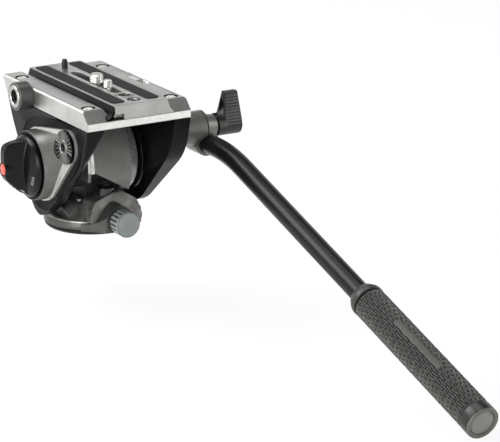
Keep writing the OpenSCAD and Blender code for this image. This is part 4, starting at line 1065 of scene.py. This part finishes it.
    def build_seal(self, cone_x: float, pocket_r: float) -> None:
        """Lays the dark ring on the cone's end, round the tilt lock knob.

        Args:
            cone_x: X of the cone's end.
            pocket_r: radius of the knob's pocket.
        """
        outer, inner = self.cone_r - self.seal_inset, pocket_r - self.seal_lap
        proud, deep = cone_x - self.seal_h, cone_x + self.edge
        rings = [(outer, deep), (outer, proud), (inner, proud), (inner, deep)]
        shell_piece("left_cover_seal", self.place(rings), Ends.LOOP, "left_cover", BAND_NYLON,
                    stands_for=False)


@dataclass
class TiltFrame:
    """Cheeks, bridge and what is fixed to them."""

    thread_pitch: float = 25.4 * MM / 16
    rosette_pitch: float = 1.0 * MM
    spring_wire_r: float = 0.35 * MM
    screw_head_r: float = 4.1 * MM
    screw_head_h: float = 4.0 * MM
    screw_shank_r: float = 2.5 * MM
    screw_key_r: float = 2.1 * MM
    screw_key_d: float = 2.0 * MM
    screw_dome: float = 1.5 * MM
    screw_sink: float = 0.25 * MM
    tooth_h: float = 0.9 * MM
    bevel_at: Point = (-28.8 * MM, -67.9 * MM, 80.1 * MM)
    bevel_way: Point = (0.651, -0.564, -0.509)
    bevel_reach: float = 100 * MM
    well_r: float = 4.98 * MM
    well_d: float = 5.1 * MM
    well_t: float = 0.2 * MM
    well_sink: float = 0.1 * MM
    edge_t: float = 5.3 * MM
    edge_inset: float = 0.35 * MM
    edge_h: float = 0.06 * MM

    def build(self) -> None:
        """Makes the cover, the threaded bushes, the screws, the bridge's edge and the release spring."""
        SideCover().build()
        # The threads' near-black is painted shade inside the bores
        threaded_bush("accessory_ring", "accessory_thread", RIGHT, self.thread_pitch, SATIN_STEEL,
                      THREAD_SHADE_STEEL)
        threaded_bush("left_rosette_bush", "left_rosette_thread", RIGHT, self.rosette_pitch, HUB_LACQUER,
                      THREAD_SHADE_STEEL)
        self.build_screws()
        self.build_edge()
        coil("release_spring", 4, self.spring_wire_r)

    def bevelled_cheek(self) -> bpy.types.Mesh:
        """Cuts the broad bevel on the inner rear corner of the left cheek.

        Returns:
            The cheek's mesh behind a plane through bevel_at that faces bevel_way.
        """
        way = np.array(self.bevel_way) / np.linalg.norm(self.bevel_way)
        side = np.cross((0, 0, 1), way)
        axes = Axes(self.bevel_at, tuple(way), tuple(side / np.linalg.norm(side)))
        half = self.bevel_reach
        return cut(merged("left_cheek"), box_mesh("bevel", (-half, -half, 0.0), (half, half, half), axes))

    def build_screws(self) -> None:
        """Makes the four bridge screws, each a low dome with a six-sided key hole, and black linings of
        painted shade in their counterbores.

        The key hole's radius is its flat distance over the cosine of the angle from the nearest flat.
        """
        low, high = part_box("bridge_screws")
        head_r, shank_r, dome = self.screw_head_r, self.screw_shank_r, self.screw_dome
        head_z = high.z - self.screw_head_h
        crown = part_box("bridge")[1].z - self.screw_sink
        u = round_angles(COLUMNS)
        hexagon = self.screw_key_r * math.cos(TAU / 12) / np.cos((u % (TAU / 6)) - TAU / 12)
        land = 1.25 * self.screw_key_r
        bend = np.linspace(0, TAU / 4, 7)[1:]
        rings = [(0.8 * shank_r, low.z), (shank_r, low.z + 0.5 * MM), (shank_r, head_z)]
        rings += [(head_r, head_z), (head_r, crown - dome)]
        rings += [(land + (head_r - land) * math.cos(a), crown - dome * (1 - math.sin(a))) for a in bend]
        rings += [(1.06 * hexagon, crown), (hexagon, crown - 0.2 * MM)]
        rings += [(hexagon, crown - self.screw_key_d)]
        radius = np.stack([r * np.ones(COLUMNS) for r, _ in rings])
        one = around(radius, np.array([z for _, z in rings])[:, None], u)
        places = [np.array([x, y, 0]) for x in (low.x + head_r, high.x - head_r)
                  for y in (low.y + head_r, high.y - head_r)]
        screws = [shell(one + place, Ends.POLES) for place in places]
        # Painted shade: black on the screws below their heads
        shank_shade = Hollow((0.0, 0.0, head_z), UP[0], -0.5 * MM, 0.0, "#0A0A0A")
        add_piece("bridge_screws_piece", mesh_of("bridge_screws", screws), "bridge_screws",
                  replace(NICKEL, name="dull_nickel_bridge_screw_shaded_below_head", hollow=shank_shade))
        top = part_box("bridge")[1].z - self.well_sink
        floor, wall = top - self.well_d, self.well_t
        # Painted shade: a thin black lining in each counterbore, where only shade falls
        lining = turned(np.array([
            [self.well_r, floor], [self.well_r, top], [self.well_r - wall, top],
            [self.well_r - wall, floor + wall], [head_r + wall, floor + wall],
            [head_r + wall, floor]]), COLUMNS)
        well_shades = [shell(lining + place, Ends.LOOP) for place in places]
        add_piece("bridge_screw_well_shade", mesh_of("bridge_screw_well_shade", well_shades), "bridge_screws", BAND_NYLON,
                  stands_for=False)

    def build_edge(self) -> None:
        """Lays the bright milled face on the bridge's rear edge."""
        low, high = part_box("bridge")
        inset = self.edge_inset
        edge = box_mesh("bridge_rear_edge", (low.x + inset, low.y - self.edge_h, low.z + inset),
                        (high.x - inset, low.y + inset, low.z + self.edge_t - inset))
        add_piece("bridge_rear_edge", edge, "bridge", MILLED_ALUMINIUM, stands_for=False)

    def dress(self) -> None:
        """Finishes the cheeks, the rosettes, the bridge and the inner pieces."""
        soften("left_cheek", CHEEK_NYLON, 0.9, 3, mesh=self.bevelled_cheek())
        soften("right_cheek", CHEEK_NYLON, 0.9, 3)
        for side, out in (("left", -1.0), ("right", 1.0)):
            low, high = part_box(side + "_rosette")
            tip = low.x if out < 0 else high.x
            # Painted shade: black between the teeth, darkest at their roots
            gap_shade = Hollow((tip, 0.0, 0.0), (out, 0.0, 0.0), -self.tooth_h, -0.35 * self.tooth_h)
            finish = replace(ROSETTE_LACQUER, name="bright_lacquer_rosette_" + side, hollow=gap_shade)
            soften(side + "_rosette", finish, 0.12, 1)
        soften("right_disc_cover", DISC_GLOSS, 0.3)
        soften("bridge", BRIDGE_ALUMINIUM, 0.4)
        soften("accessory_boss", BOSS_LACQUER, 0.7, 3)
        soften("guide_strip", STRIP_ALUMINIUM, 0.25)
        dress_node("tilt_axle", STEEL)
        dress_node("drag_rotor", STRIP_ALUMINIUM)
        dress_node("counterbalance_spring", SPRING_STEEL)


@dataclass
class PlateLock:
    """Clamp jaw with its lever, and the safety release."""

    hub_flat: float = 1.4 * MM

    def build(self) -> None:
        """Finishes the jaw, the lever with a flat on its hub, and the release."""
        soften("clamp_jaw", STRIP_ALUMINIUM, 0.3)
        low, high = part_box("plate_lock_lever")
        flat = box_mesh("hub_flat", (low.x - MM, low.y - MM, high.z - self.hub_flat),
                        (high.x + MM, high.y + MM, high.z + MM))
        soften("plate_lock_lever", LEVER_NYLON, 0.5, mesh=cut(merged("plate_lock_lever"), flat))
        dress_node("plate_lock_stud", STEEL)
        soften("release_button", POLISHED_ALUMINIUM, 0.4)


@dataclass
class TiltLock:
    """Tilt lock knob with its thumb ridge, red insert and screw.

    The ridge's line stands at the shares ridge_line of the knob's height at the heights ridge_at, which
    are for a knob with the radius ridge_on.
    """

    rim_h: float = 4.6 * MM
    dome_h: float = 9.4 * MM
    edge: float = 1.6 * MM
    back_edge: float = 0.6 * MM
    ridge_flat: float = 2.6 * MM
    ridge_flare: float = 5.0 * MM
    ridge_on: float = 22.0
    ridge_at: tuple[float, ...] = (-20.6, -19.2, -17.6, -12, -7.4, -4.5, 0, 11, 14, 16.4, 18, 19.4, 20.2)
    ridge_line: tuple[float, ...] = (
        0.0, 0.30, 0.46, 0.74, 0.93, 0.985, 1, 1, 0.985, 0.94, 0.84, 0.55, 0.0)
    notches: int = 3
    notch_d: float = 0.55 * MM
    notch_foot: float = -17.4 * MM
    notch_run: float = 7.5 * MM
    notch_hw: float = 8 * MM
    notch_fade: float = 3 * MM
    seat_d: float = 1.8 * MM
    seat_rim: float = 1.1 * MM
    seat_fade: float = 0.7 * MM
    insert_fit: float = 0.94
    insert_dome: float = 0.9 * MM
    mark_groups: tuple[tuple[float, int], ...] = ((-24.0, 4), (-88.0, 5))
    mark_step_deg: float = 6.5
    mark_share: float = 0.72
    mark_l: float = 2.4
    mark_span: tuple[float, float] = (-0.4 * MM, 0.06 * MM)
    columns: int = 288

    def __post_init__(self) -> None:
        """Reads the knob's axis, radius and height and the insert's radius from their boxes."""
        low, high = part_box("tilt_lock_knob")
        self.out = Axes((high.x, *TILT_AXIS[1:]), *LEFT)
        self.radius = (high.y - low.y) / 2
        self.top = high.x - low.x
        self.insert_r = spread("tilt_lock_insert")[1] / 2

    def build(self) -> None:
        """Makes the knob, its marks and the insert."""
        u = round_angles(self.columns)
        bend = np.linspace(0, TAU / 4, 6)
        rim = np.column_stack([self.radius - self.edge * (1 - np.cos(bend)),
                               self.rim_h - self.edge * (1 - np.sin(bend))])
        back = [[self.radius - self.back_edge, 0], [self.radius, self.back_edge]]
        side = turned(np.concatenate([back, rim[:-1]]), self.columns)
        r = np.linspace(self.radius - self.edge, 0.2 * MM, 110)[:, None]
        # Local X is the frame's Y and local Y is down, because local Z points out of the left cheek
        a, b = r * np.cos(u), r * np.sin(u)
        face = np.stack([a, b, self.height(a, -b)], -1)
        shell_piece("tilt_lock_knob_piece", self.out.put(np.concatenate([side, face])), Ends.POLES,
                    "tilt_lock_knob", KNOB_GLOSS, sharp_deg=60)
        self.build_insert()
        self.build_marks()
        dress_node("tilt_lock_screw", STEEL)

    def height(self, across: np.ndarray, up: np.ndarray) -> np.ndarray:
        """How far the knob stands out at a point of its face.

        The disc is a parabola of the distance from the axis. The ridge's line goes through fixed points up
        the knob. It is full within ridge_flat of the middle and flares out to the disc by the power 1.8
        of an eased step. Notches are a cosine up the lower slope. A round boss on the axis holds the insert
        in its seat.

        Args:
            across: distance from the ridge's middle.
            up: height above the axis.

        Returns:
            The distance from the knob's back.
        """
        share = (across ** 2 + up ** 2) / self.radius ** 2
        disc = self.rim_h + (self.dome_h - self.rim_h) * (1 - share)
        at = np.array(self.ridge_at) / self.ridge_on * self.radius
        fine = np.linspace(at[0], at[-1], 161)
        padded = np.pad(np.interp(fine, at, self.ridge_line), 4, mode="edge")
        line = np.interp(up, fine, np.convolve(padded, np.full(9, 1 / 9), "valid"))
        fall = (1 - smooth_step((np.abs(across) - self.ridge_flat) / self.ridge_flare)) ** 1.8
        ridge = np.maximum(line * self.top - disc, 0) * fall
        step = (up - self.notch_foot) / self.notch_run
        notch = np.where((step > 0) & (step < 1), 0.5 - 0.5 * np.cos(TAU * self.notches * step), 0)
        reach = smooth_step((self.notch_hw - np.abs(across)) / self.notch_fade)
        skin = disc + ridge - self.notch_d * notch * reach
        far = np.hypot(across, up)
        boss = self.top * smooth_step((self.insert_r + self.seat_rim - far) / self.seat_fade)
        return np.where(far < self.insert_r, self.top - self.seat_d, np.maximum(skin, boss))

    def build_insert(self) -> None:
        """Makes the red insert with its low dome."""
        low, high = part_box("tilt_lock_insert")
        radius = self.insert_r * self.insert_fit
        length = high.x - low.x
        bend = np.linspace(0, TAU / 4, 9)
        dome = np.column_stack([radius * np.cos(bend) ** 0.6,
                                length - self.insert_dome * (1 - np.sin(bend))])
        axes = Axes((high.x, *TILT_AXIS[1:]), *LEFT)
        profile = np.concatenate([[[radius, 0]], dome[:-1], [[radius * 0.05, length]]])
        shell_piece("tilt_lock_insert_piece", axes.put(turned(profile)), Ends.POLES, "tilt_lock_insert",
                    RED_GLOSS)

    def build_marks(self) -> None:
        """Prints two short plain rows of strokes on the disc, which follow its face."""
        stroke = rounded([(-0.3, 0), (0.3, 0), (0.3, 1), (-0.3, 1)], 0.2, closed=True)
        stroke = stroke * [1, self.mark_l] * MM
        shells = []
        for middle_deg, count in self.mark_groups:
            for k in range(count):
                angle = math.radians(180 - middle_deg + self.mark_step_deg * (k - (count - 1) / 2))
                way = np.array([math.cos(angle), math.sin(angle)])
                flat = np.outer(stroke[:, 1] + self.mark_share * self.radius, way)
                flat += np.outer(stroke[:, 0], [-way[1], way[0]])
                face = self.height(flat[:, 0], flat[:, 1])
                rows = [np.column_stack([flat[:, 0], -flat[:, 1], face + lift]) for lift in self.mark_span]
                shells.append(shell(self.out.put(np.stack(rows)), Ends.POLES))
        add_piece("tilt_lock_marks", mesh_of("tilt_lock_marks", shells), "tilt_lock_knob", TICK_PAINT,
                  stands_for=False)


@dataclass
class CameraPlate:
    """Sliding plate with its pads, screws, eyelet and spring pin."""

    big_pitch: float = 25.4 * MM / 16
    small_pitch: float = 25.4 * MM / 20
    neck_r: float = 2.9 * MM
    head_h: float = 4.5 * MM
    edge: float = 0.4 * MM
    tip_h: float = 0.3 * MM
    slot_w: float = 1.3 * MM
    slot_d: float = 2.6 * MM
    pin_r: float = 2.2 * MM
    pin_step: float = 0.4 * MM
    pin_foot: float = 1.3 * MM
    spring_wire_r: float = 0.4 * MM
    top_hw: float = 20.2 * MM
    gap_w: float = 0.55 * MM
    gap_span: tuple[float, float] = (-0.2 * MM, 0.04 * MM)

    def build(self) -> None:
        """Makes the camera screws, the spring pin and its coil."""
        self.build_screw("camera_screw_large", "camera_screw_large_thread", self.big_pitch)
        self.build_screw("camera_screw_small", "camera_screw_small_thread", self.small_pitch)
        self.build_pin()
        coil("pin_spring", 4, self.spring_wire_r)

    def build_screw(self, node: str, mount: str, pitch: float) -> None:
        """Makes a captive camera screw with a real thread and a driver slot.

        The thread's radius is the crest's less the depth times one minus thread_wave(height / pitch
        - u / 2 pi), eased out at its tip.

        Args:
            node: the plain screw.
            mount: the mount that names its thread.
            pitch: the thread's pitch.
        """
        low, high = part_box(node)
        x, y, _ = middle(node)
        crest = MOUNT[mount]["dims"]["r_mm"] * MM
        length = MOUNT[mount]["dims"]["length_mm"] * MM + 0.5 * MM
        head_r = (high.x - low.x) / 2
        total = high.z - low.z
        start = total - length
        depth = 0.5 * pitch
        root = crest - depth
        rows_per_turn = 14
        u = round_angles(COLUMNS)
        z = np.linspace(start, total - 0.5 * MM, int(length / pitch * rows_per_turn))[:, None]
        ease = smooth_step((total - self.tip_h - z) / (0.8 * pitch))
        stem = around(crest - depth * (1 - thread_wave(z / pitch - u / TAU) * ease), z, u)
        foot = turned(rounded([
            (0, 0), (head_r, 0), (head_r, self.head_h), (self.neck_r, self.head_h),
            (self.neck_r, start - 0.2 * MM)], self.edge)[1:], COLUMNS)
        top = turned(np.array([[root, total - self.tip_h], [root - self.edge, total]]), COLUMNS)
        body = mesh_of(node, [shell(upright(node).put(np.concatenate([foot, stem, top])), Ends.POLES)])
        half = self.slot_w / 2
        slot = box_mesh("driver_slot", (x - head_r, y - half, high.z - self.slot_d),
                        (x + head_r, y + half, high.z + MM))
        add_piece(node + "_piece", cut(body, slot), node, NICKEL)

    def build_pin(self) -> None:
        """Makes the spring pin with its stepped head."""
        body_r, _, total = spread("video_pin") * (0.5, 0.5, 1)
        pin_r, tip_r, foot = self.pin_r, self.pin_r - self.pin_step, self.pin_foot
        profile = rounded([
            (0, 0), (body_r, 0), (body_r, foot), (pin_r, foot), (pin_r, total - 1.6 * MM),
            (tip_r, total - 1.4 * MM), (tip_r, total), (0, total)], self.edge)
        shell_piece("video_pin_piece", upright("video_pin").put(turned(profile[1:-1])), Ends.POLES,
                    "video_pin", PIN_LACQUER)

    def dress(self) -> None:
        """Finishes the plate with painted shade on its left flank, its pads, the eyelet and the end screw,
        and lays black rings of painted shade round the last two.
        """
        # Painted shade: near-black on the plate's left flank, which faces the left rail
        flank = Hollow((-self.top_hw, 0.0, 0.0), RIGHT[0], -0.2 * MM, 0.1 * MM, "#0C0C0C")
        soften("camera_plate", replace(PLATE_ALUMINIUM, hollow=flank), 0.35)
        soften("plate_pads", PAD_RUBBER, 0.3)
        soften("plate_eyelet", EYELET_LACQUER, 0.3)
        soften("plate_end_screw", STEEL, 0.3)
        self.build_gap("plate_eyelet")
        self.build_gap("plate_end_screw")

    def build_gap(self, node: str) -> None:
        """Lays a black ring of painted shade in the gap round a piece that sits in the plate's top.

        Args:
            node: the round piece.
        """
        inner = spread(node)[0] / 2
        outer = inner + self.gap_w
        deep, proud = (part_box("camera_plate")[1].z + lift for lift in self.gap_span)
        ring = np.array([[inner, deep], [outer, deep], [outer, proud], [inner, proud]])
        axes = Axes((*middle(node)[:2], 0.0), *UP)
        # The ring is painted shade: black where shade falls in the gap
        shell_piece(node + "_gap", axes.put(turned(ring)), Ends.LOOP, node, BAND_NYLON, stands_for=False)


@dataclass
class PanBar:
    """Bent tube with its clamp, grip and end cap."""

    bend_r: float = 120 * MM
    tube_wall: float = 1.3 * MM
    tube_gap: float = 0.02 * MM
    ribs: int = 42
    wave: float = 10 * MM
    sway: float = 1.1
    scale_len: float = 8.5 * MM
    relief: float = 1.1 * MM
    end_fade: float = 1.5 * MM
    grip_r: float = 11.4 * MM
    collar_l: float = 9 * MM
    collar_step: float = 0.2 * MM
    collar_gap: float = 0.3 * MM
    cap_l: float = 9 * MM
    disc_d: float = 1.5 * MM
    disc_gap: float = 0.35 * MM
    band_h: float = 0.12 * MM
    band_d: float = 0.4 * MM
    field_deg: float = 108.0
    field_span: tuple[float, float] = (0.27, 0.70)
    field_w: float = 6.0 * MM

    def __post_init__(self) -> None:
        """Works out the grip's axis from the middles of the collar and the end disc, and its bore."""
        collar, end = middle("grip_collar"), middle("grip_end_disc")
        way = (end - collar) / np.linalg.norm(end - collar)
        self.way = way
        self.drop = math.atan2(-way[2], -way[1])
        self.end = end
        self.tube_r = spread("pan_tube")[0] / 2
        self.bore = self.tube_r + self.tube_gap

    def axes_at(self, start: np.ndarray) -> Axes:
        """The grip's axis, from a point on it."""
        return Axes(tuple(start.tolist()), tuple(self.way.tolist()), RIGHT[0])

    def span(self, node: str) -> tuple[np.ndarray, float, float]:
        """Start, length and largest radius of a turned piece on the grip's axis.

        Args:
            node: the piece's node.

        Returns:
            The middle of its first end, its length and its radius.
        """
        size = spread(node)
        radius = size[0] / 2
        length = (size[1] - 2 * radius * math.sin(self.drop)) / math.cos(self.drop)
        return middle(node) - self.way * length / 2, length, radius

    def build(self) -> None:
        """Makes the tube, the rubber grip, its collar and its end cap."""
        self.build_tube()
        self.build_grip()
        self.build_collar()
        self.build_cap()

    def build_tube(self) -> None:
        """Carries a circle along a straight, an arc and the grip's axis."""
        low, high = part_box("pan_tube")
        x, level = (low.x + high.x) / 2, high.z - self.tube_r
        run = (self.end[2] - level) / self.way[2]
        corner_y = self.end[1] - run * self.way[1]
        tangent = self.bend_r * math.tan(self.drop / 2)
        turn = np.linspace(0, self.drop, 30)
        arc_y = corner_y + tangent - self.bend_r * np.sin(turn)
        arc_z = level - self.bend_r * (1 - np.cos(turn))
        stop, _, _ = self.span("grip_end_cap")
        y = np.concatenate([[high.y], arc_y, [stop[1]]])[:, None]
        z = np.concatenate([[level], arc_z, [stop[2]]])[:, None]
        lean = np.concatenate([[0], turn, [self.drop]])[:, None]
        u = round_angles(COLUMNS)
        walls = []
        for ring_r in (self.tube_r, self.tube_r - self.tube_wall):
            up = ring_r * np.sin(u)
            grid = (x + ring_r * np.cos(u), y - up * np.sin(lean), z + up * np.cos(lean))
            walls.append(np.stack(np.broadcast_arrays(*grid), -1))
        both = np.concatenate([walls[0], walls[1][::-1]])
        shell_piece("pan_tube_piece", both, Ends.LOOP, "pan_tube", TUBE_LACQUER)

    def build_grip(self) -> None:
        """Makes the rubber grip with its wavy rows of scales.

        The ribs run along the grip. A rib's phase is ribs times u plus sway times the sine of the length
        over the wave's length, its height is a softened cosine of that phase, and each rib is cut into
        scales whose joints are staggered from rib to rib. A plain raised field along the grip stays smooth.
        """
        start, length, _ = self.span("grip_sleeve")
        radius = self.grip_r
        columns = self.ribs * 8
        u = round_angles(columns)
        s = np.linspace(0, length, 300)[:, None]
        phase = self.ribs * u + self.sway * np.sin(TAU * s / self.wave)
        rib = smooth_step(0.5 + 0.62 * np.cos(phase))
        odd = np.floor(phase / TAU + 0.5) % 2
        joint = np.abs(((s / self.scale_len + 0.5 * odd) % 1) - 0.5) * 2
        scale = rib * (0.1 + 0.9 * smooth_step((1 - joint) * 4))
        ease = smooth_step(s / self.end_fade) * smooth_step((length - s) / self.end_fade)
        skin = radius - self.relief + self.relief * scale * ease
        aside = np.abs((u - math.radians(self.field_deg) + TAU / 2) % TAU - TAU / 2) * radius
        first, last = (share * length for share in self.field_span)
        field = smooth_step((self.field_w / 2 - aside) / MM) * smooth_step((s - first) / MM)
        field = field * smooth_step((last - s) / MM)
        skin = skin + (radius - skin) * field
        bore = turned(np.array([[self.bore, length], [self.bore, 0]]), columns)
        axes = self.axes_at(start)
        # Painted shade: black deep in the furrows between the ribs and scales
        groove_shade = Hollow(axes.origin, axes.along, radius - 0.85 * self.relief, radius - 0.2 * self.relief,
                         across=True)
        shell_piece("grip_sleeve_piece", axes.put(np.concatenate([around(skin, s, u), bore])), Ends.LOOP,
                    "grip_sleeve", replace(GRIP_RUBBER, hollow=groove_shade), sharp_deg=80)

    def build_collar(self) -> None:
        """Makes the collar that the tube enters, as a turned ring with a tapered front."""
        start, _, _ = self.span("grip_sleeve")
        outer = self.grip_r + self.collar_step
        front, back = -self.collar_l, -self.collar_gap
        ring = rounded([
            (self.bore, front), (0.8 * outer, front), (outer, 0.45 * front), (outer, back),
            (self.bore, back)], 0.6 * MM, closed=True)
        shell_piece("grip_collar_piece", self.axes_at(start).put(turned(ring)), Ends.LOOP, "grip_collar",
                    COLLAR_NYLON)

    def build_cap(self) -> None:
        """Makes the end cap as a ring, its plain disc, and a thin black band round its side as painted
        shade.
        """
        _, disc_t, disc_r = self.span("grip_end_disc")
        axes = self.axes_at(self.end + self.way * self.disc_d)
        front, seat = -self.cap_l, -self.disc_d - disc_t / 2
        ring = rounded([
            (self.bore, front), (self.grip_r, front), (self.grip_r, 0), (disc_r, 0), (disc_r, seat),
            (self.bore, seat)], 0.7 * MM, closed=True)
        shell_piece("grip_end_cap_piece", axes.put(turned(ring)), Ends.LOOP, "grip_end_cap", RING_NYLON)
        small_r, face = disc_r - self.disc_gap, disc_t / 2 - self.disc_d
        disc = rounded([(0, seat), (small_r, seat), (small_r, face), (0, face)], 0.3 * MM)
        shell_piece("grip_end_disc_piece", axes.put(turned(disc[1:-1])), Ends.POLES, "grip_end_disc",
                    CAP_NYLON)
        # Painted shade: the black band darkens the cap's side
        outer, under = self.grip_r + self.band_h, self.grip_r - self.band_d
        start = front + 0.3 * MM
        band = rounded([(under, start), (outer, start), (outer, -1.1 * MM), (under, -0.9 * MM)],
                       0.25 * MM, closed=True)
        shell_piece("grip_end_shade_band", axes.put(turned(band)), Ends.LOOP, "grip_end_cap", SHADE_BAND_RUBBER,
                    stands_for=False)

    def dress(self) -> None:
        """Finishes the clamp."""
        soften("clamp_body", CLAMP_NYLON, 0.4)
        soften("clamp_cap", CLAMP_NYLON, 0.5, 3)


@dataclass
class WingKnob:
    """Wing knob that tightens the pan bar's clamp."""

    hub_r: float = 8.2 * MM
    lean_deg: float = 13.0
    groove_d: float = 0.5 * MM
    groove_edge: float = 0.1 * MM

    def build(self) -> None:
        """Finishes the knob, with painted shade in each groove between the bars of its rear face, and its
        stud.
        """
        _, y, z = JOINT["bar_angle"]["pos_m"]
        lean = math.radians(self.lean_deg)
        # Painted shade: near-black deep between the bars of the rear face
        groove_shade = Hollow((0.0, y, z), (0.0, -math.cos(lean), math.sin(lean)), self.hub_r - self.groove_d,
                         self.hub_r - self.groove_edge, "#121211")
        soften("wing_knob", replace(WING_NYLON, hollow=groove_shade), 0.2)
        dress_node("clamp_stud", STEEL)


@dataclass
class Studio:
    """Pale floor, soft light and the camera of the reference view."""

    target: Point = (95.8 * MM, -57.1 * MM, 0.0)
    azimuth_deg: float = -30.8
    elevation_deg: float = 17.0
    distance: float = 2.0
    focal_px: float = 2815.0
    image_w: float = 500.0
    sensor: float = 36.0
    floor_half: float = 6.0
    floor_gap: float = 2 * MM
    floor_glow: float = 1.02
    camera_white: float = 0.86
    mirror_white: float = 0.2
    lamp_aim: Point = (0.03, -0.05, 0.04)
    horizon: tuple[float, float] = (0.22, 1.0)
    overhead: tuple[float, float] = (0.7, 0.14)

    def build(self) -> None:
        """Sets the view transform, camera, floor, lamps and world."""
        bpy.context.scene.view_settings.view_transform = "Standard"
        self.build_camera()
        self.build_floor()
        self.build_lamps()
        self.build_world()

    def back(self) -> Vector:
        """Returns the direction from the object to the camera."""
        a, e = math.radians(self.azimuth_deg), math.radians(self.elevation_deg)
        return Vector((math.sin(a) * math.cos(e), -math.cos(a) * math.cos(e), math.sin(e)))

    def build_camera(self) -> None:
        """Places the camera and sets its focal length in sensor millimetres."""
        data = bpy.data.cameras.new("view")
        data.sensor_fit = "HORIZONTAL"
        data.sensor_width = self.sensor
        data.lens = self.sensor * self.focal_px / self.image_w
        data.clip_start, data.clip_end = 0.05, 50.0
        camera = bpy.data.objects.new("view", data)
        camera.location = Vector(self.target) + self.back() * self.distance
        camera.rotation_mode = "QUATERNION"
        camera.rotation_quaternion = (-self.back()).to_track_quat("-Z", "Y")
        bpy.context.scene.collection.objects.link(camera)
        bpy.context.scene.camera = camera

    def build_floor(self) -> None:
        """Lays a pale floor under the lowest piece: white to the camera, with a soft shadow left in it."""
        low = CAD_BOX[0].z - self.floor_gap
        half = self.floor_half
        mesh = bpy.data.meshes.new("floor")
        mesh.from_pydata([(-half, -half, low), (half, -half, low), (half, half, low), (-half, half, low)],
                         [], [(0, 1, 2, 3)])
        floor = bpy.data.objects.new("floor", mesh)
        bpy.context.scene.collection.objects.link(floor)
        paper = bpy.data.materials.new("white_paper_floor")
        paper.use_nodes = True
        tree = paper.node_tree
        tree.nodes.remove(tree.nodes["Principled BSDF"])
        share = self.seen(tree)
        matt = add_node(tree, "ShaderNodeBsdfDiffuse", {"Color": linear("#F2F2F0")})
        glow = add_node(
            tree, "ShaderNodeEmission", {"Color": linear("#FFFFFF"), "Strength": self.floor_glow})
        mix = add_node(tree, "ShaderNodeMixShader", {0: share, 1: matt.outputs[0], 2: glow.outputs[0]})
        tree.links.new(mix.outputs[0], tree.nodes["Material Output"].inputs["Surface"])
        mesh.materials.append(paper)

    def seen(self, tree: bpy.types.NodeTree) -> bpy.types.NodeSocket:
        """Adds the nodes that tell camera, mirror and glass rays from the light that falls on things.

        Mirrors show the floor's shadow more strongly than the camera does, as dark metal under a real
        head does.

        Args:
            tree: the node tree.

        Returns:
            A socket with the floor's own white: its share for those rays, and zero for the rest.
        """
        kind = "ShaderNodeMath"
        path = add_node(tree, "ShaderNodeLightPath", {}).outputs
        mirror = add_node(
            tree, kind, {0: path["Is Glossy Ray"], 1: path["Is Transmission Ray"]}, operation="MAXIMUM")
        weak = add_node(tree, kind, {0: mirror.outputs[0], 1: self.mirror_white}, operation="MULTIPLY")
        strong = add_node(
            tree, kind, {0: path["Is Camera Ray"], 1: self.camera_white}, operation="MULTIPLY")
        both = add_node(tree, kind, {0: weak.outputs[0], 1: strong.outputs[0]}, operation="MAXIMUM")
        return both.outputs[0]

    def build_lamps(self) -> None:
        """Hangs four soft boxes: a key beyond the head on its left, one on each side and one overhead."""
        boxes = (
            ("key", (-0.9, 0.85, 1.3), (1.1, 1.1), 26.0),
            ("left", (-1.5, -0.75, 0.5), (0.9, 0.9), 17.0),
            ("top", (0.1, 0.2, 1.7), (1.0, 0.8), 8.0),
            ("right", (1.6, -0.9, 0.5), (0.8, 1.2), 9.0),
        )
        for name, place, size, power in boxes:
            lamp = bpy.data.lights.new(name, "AREA")
            lamp.shape = "RECTANGLE"
            lamp.size, lamp.size_y = size
            lamp.energy = power
            holder = bpy.data.objects.new(name, lamp)
            holder.location = place
            aim = Vector(self.lamp_aim) - Vector(place)
            holder.rotation_mode = "QUATERNION"
            holder.rotation_quaternion = aim.to_track_quat("-Z", "Y")
            bpy.context.scene.collection.objects.link(holder)

    def build_world(self) -> None:
        """A studio that is white at the horizon, where the camera sees it, and darker overhead."""
        world = bpy.data.worlds.new("studio")
        bpy.context.scene.world = world
        world.use_nodes = True
        tree = world.node_tree
        tree.nodes.clear()
        way = add_node(tree, "ShaderNodeTexCoord", {}).outputs["Generated"]
        parts = add_node(tree, "ShaderNodeSeparateXYZ", {0: way})
        low, high = self.horizon, self.overhead
        light = add_node(tree, "ShaderNodeMapRange", {
            "Value": parts.outputs["Z"], "From Min": low[0], "From Max": high[0],
            "To Min": low[1], "To Max": high[1]}).outputs[0]
        room = add_node(tree, "ShaderNodeBackground", {"Color": linear("#FFFFFF"), "Strength": light})
        add_node(tree, "ShaderNodeOutputWorld", {"Surface": room.outputs[0]})


def main() -> None:
    """Builds and dresses each sub-assembly."""
    logging.basicConfig(level=logging.INFO, format="%(name)s: %(message)s")
    Studio().build()
    for part in (Base(), Turntable(), PanLock(), TiltFrame(), PlateLock(), TiltLock(), CameraPlate(),
                 PanBar(), WingKnob()):
        part.build()
        if hasattr(part, "dress"):
            part.dress()


if __name__ == "__main__":
    main()
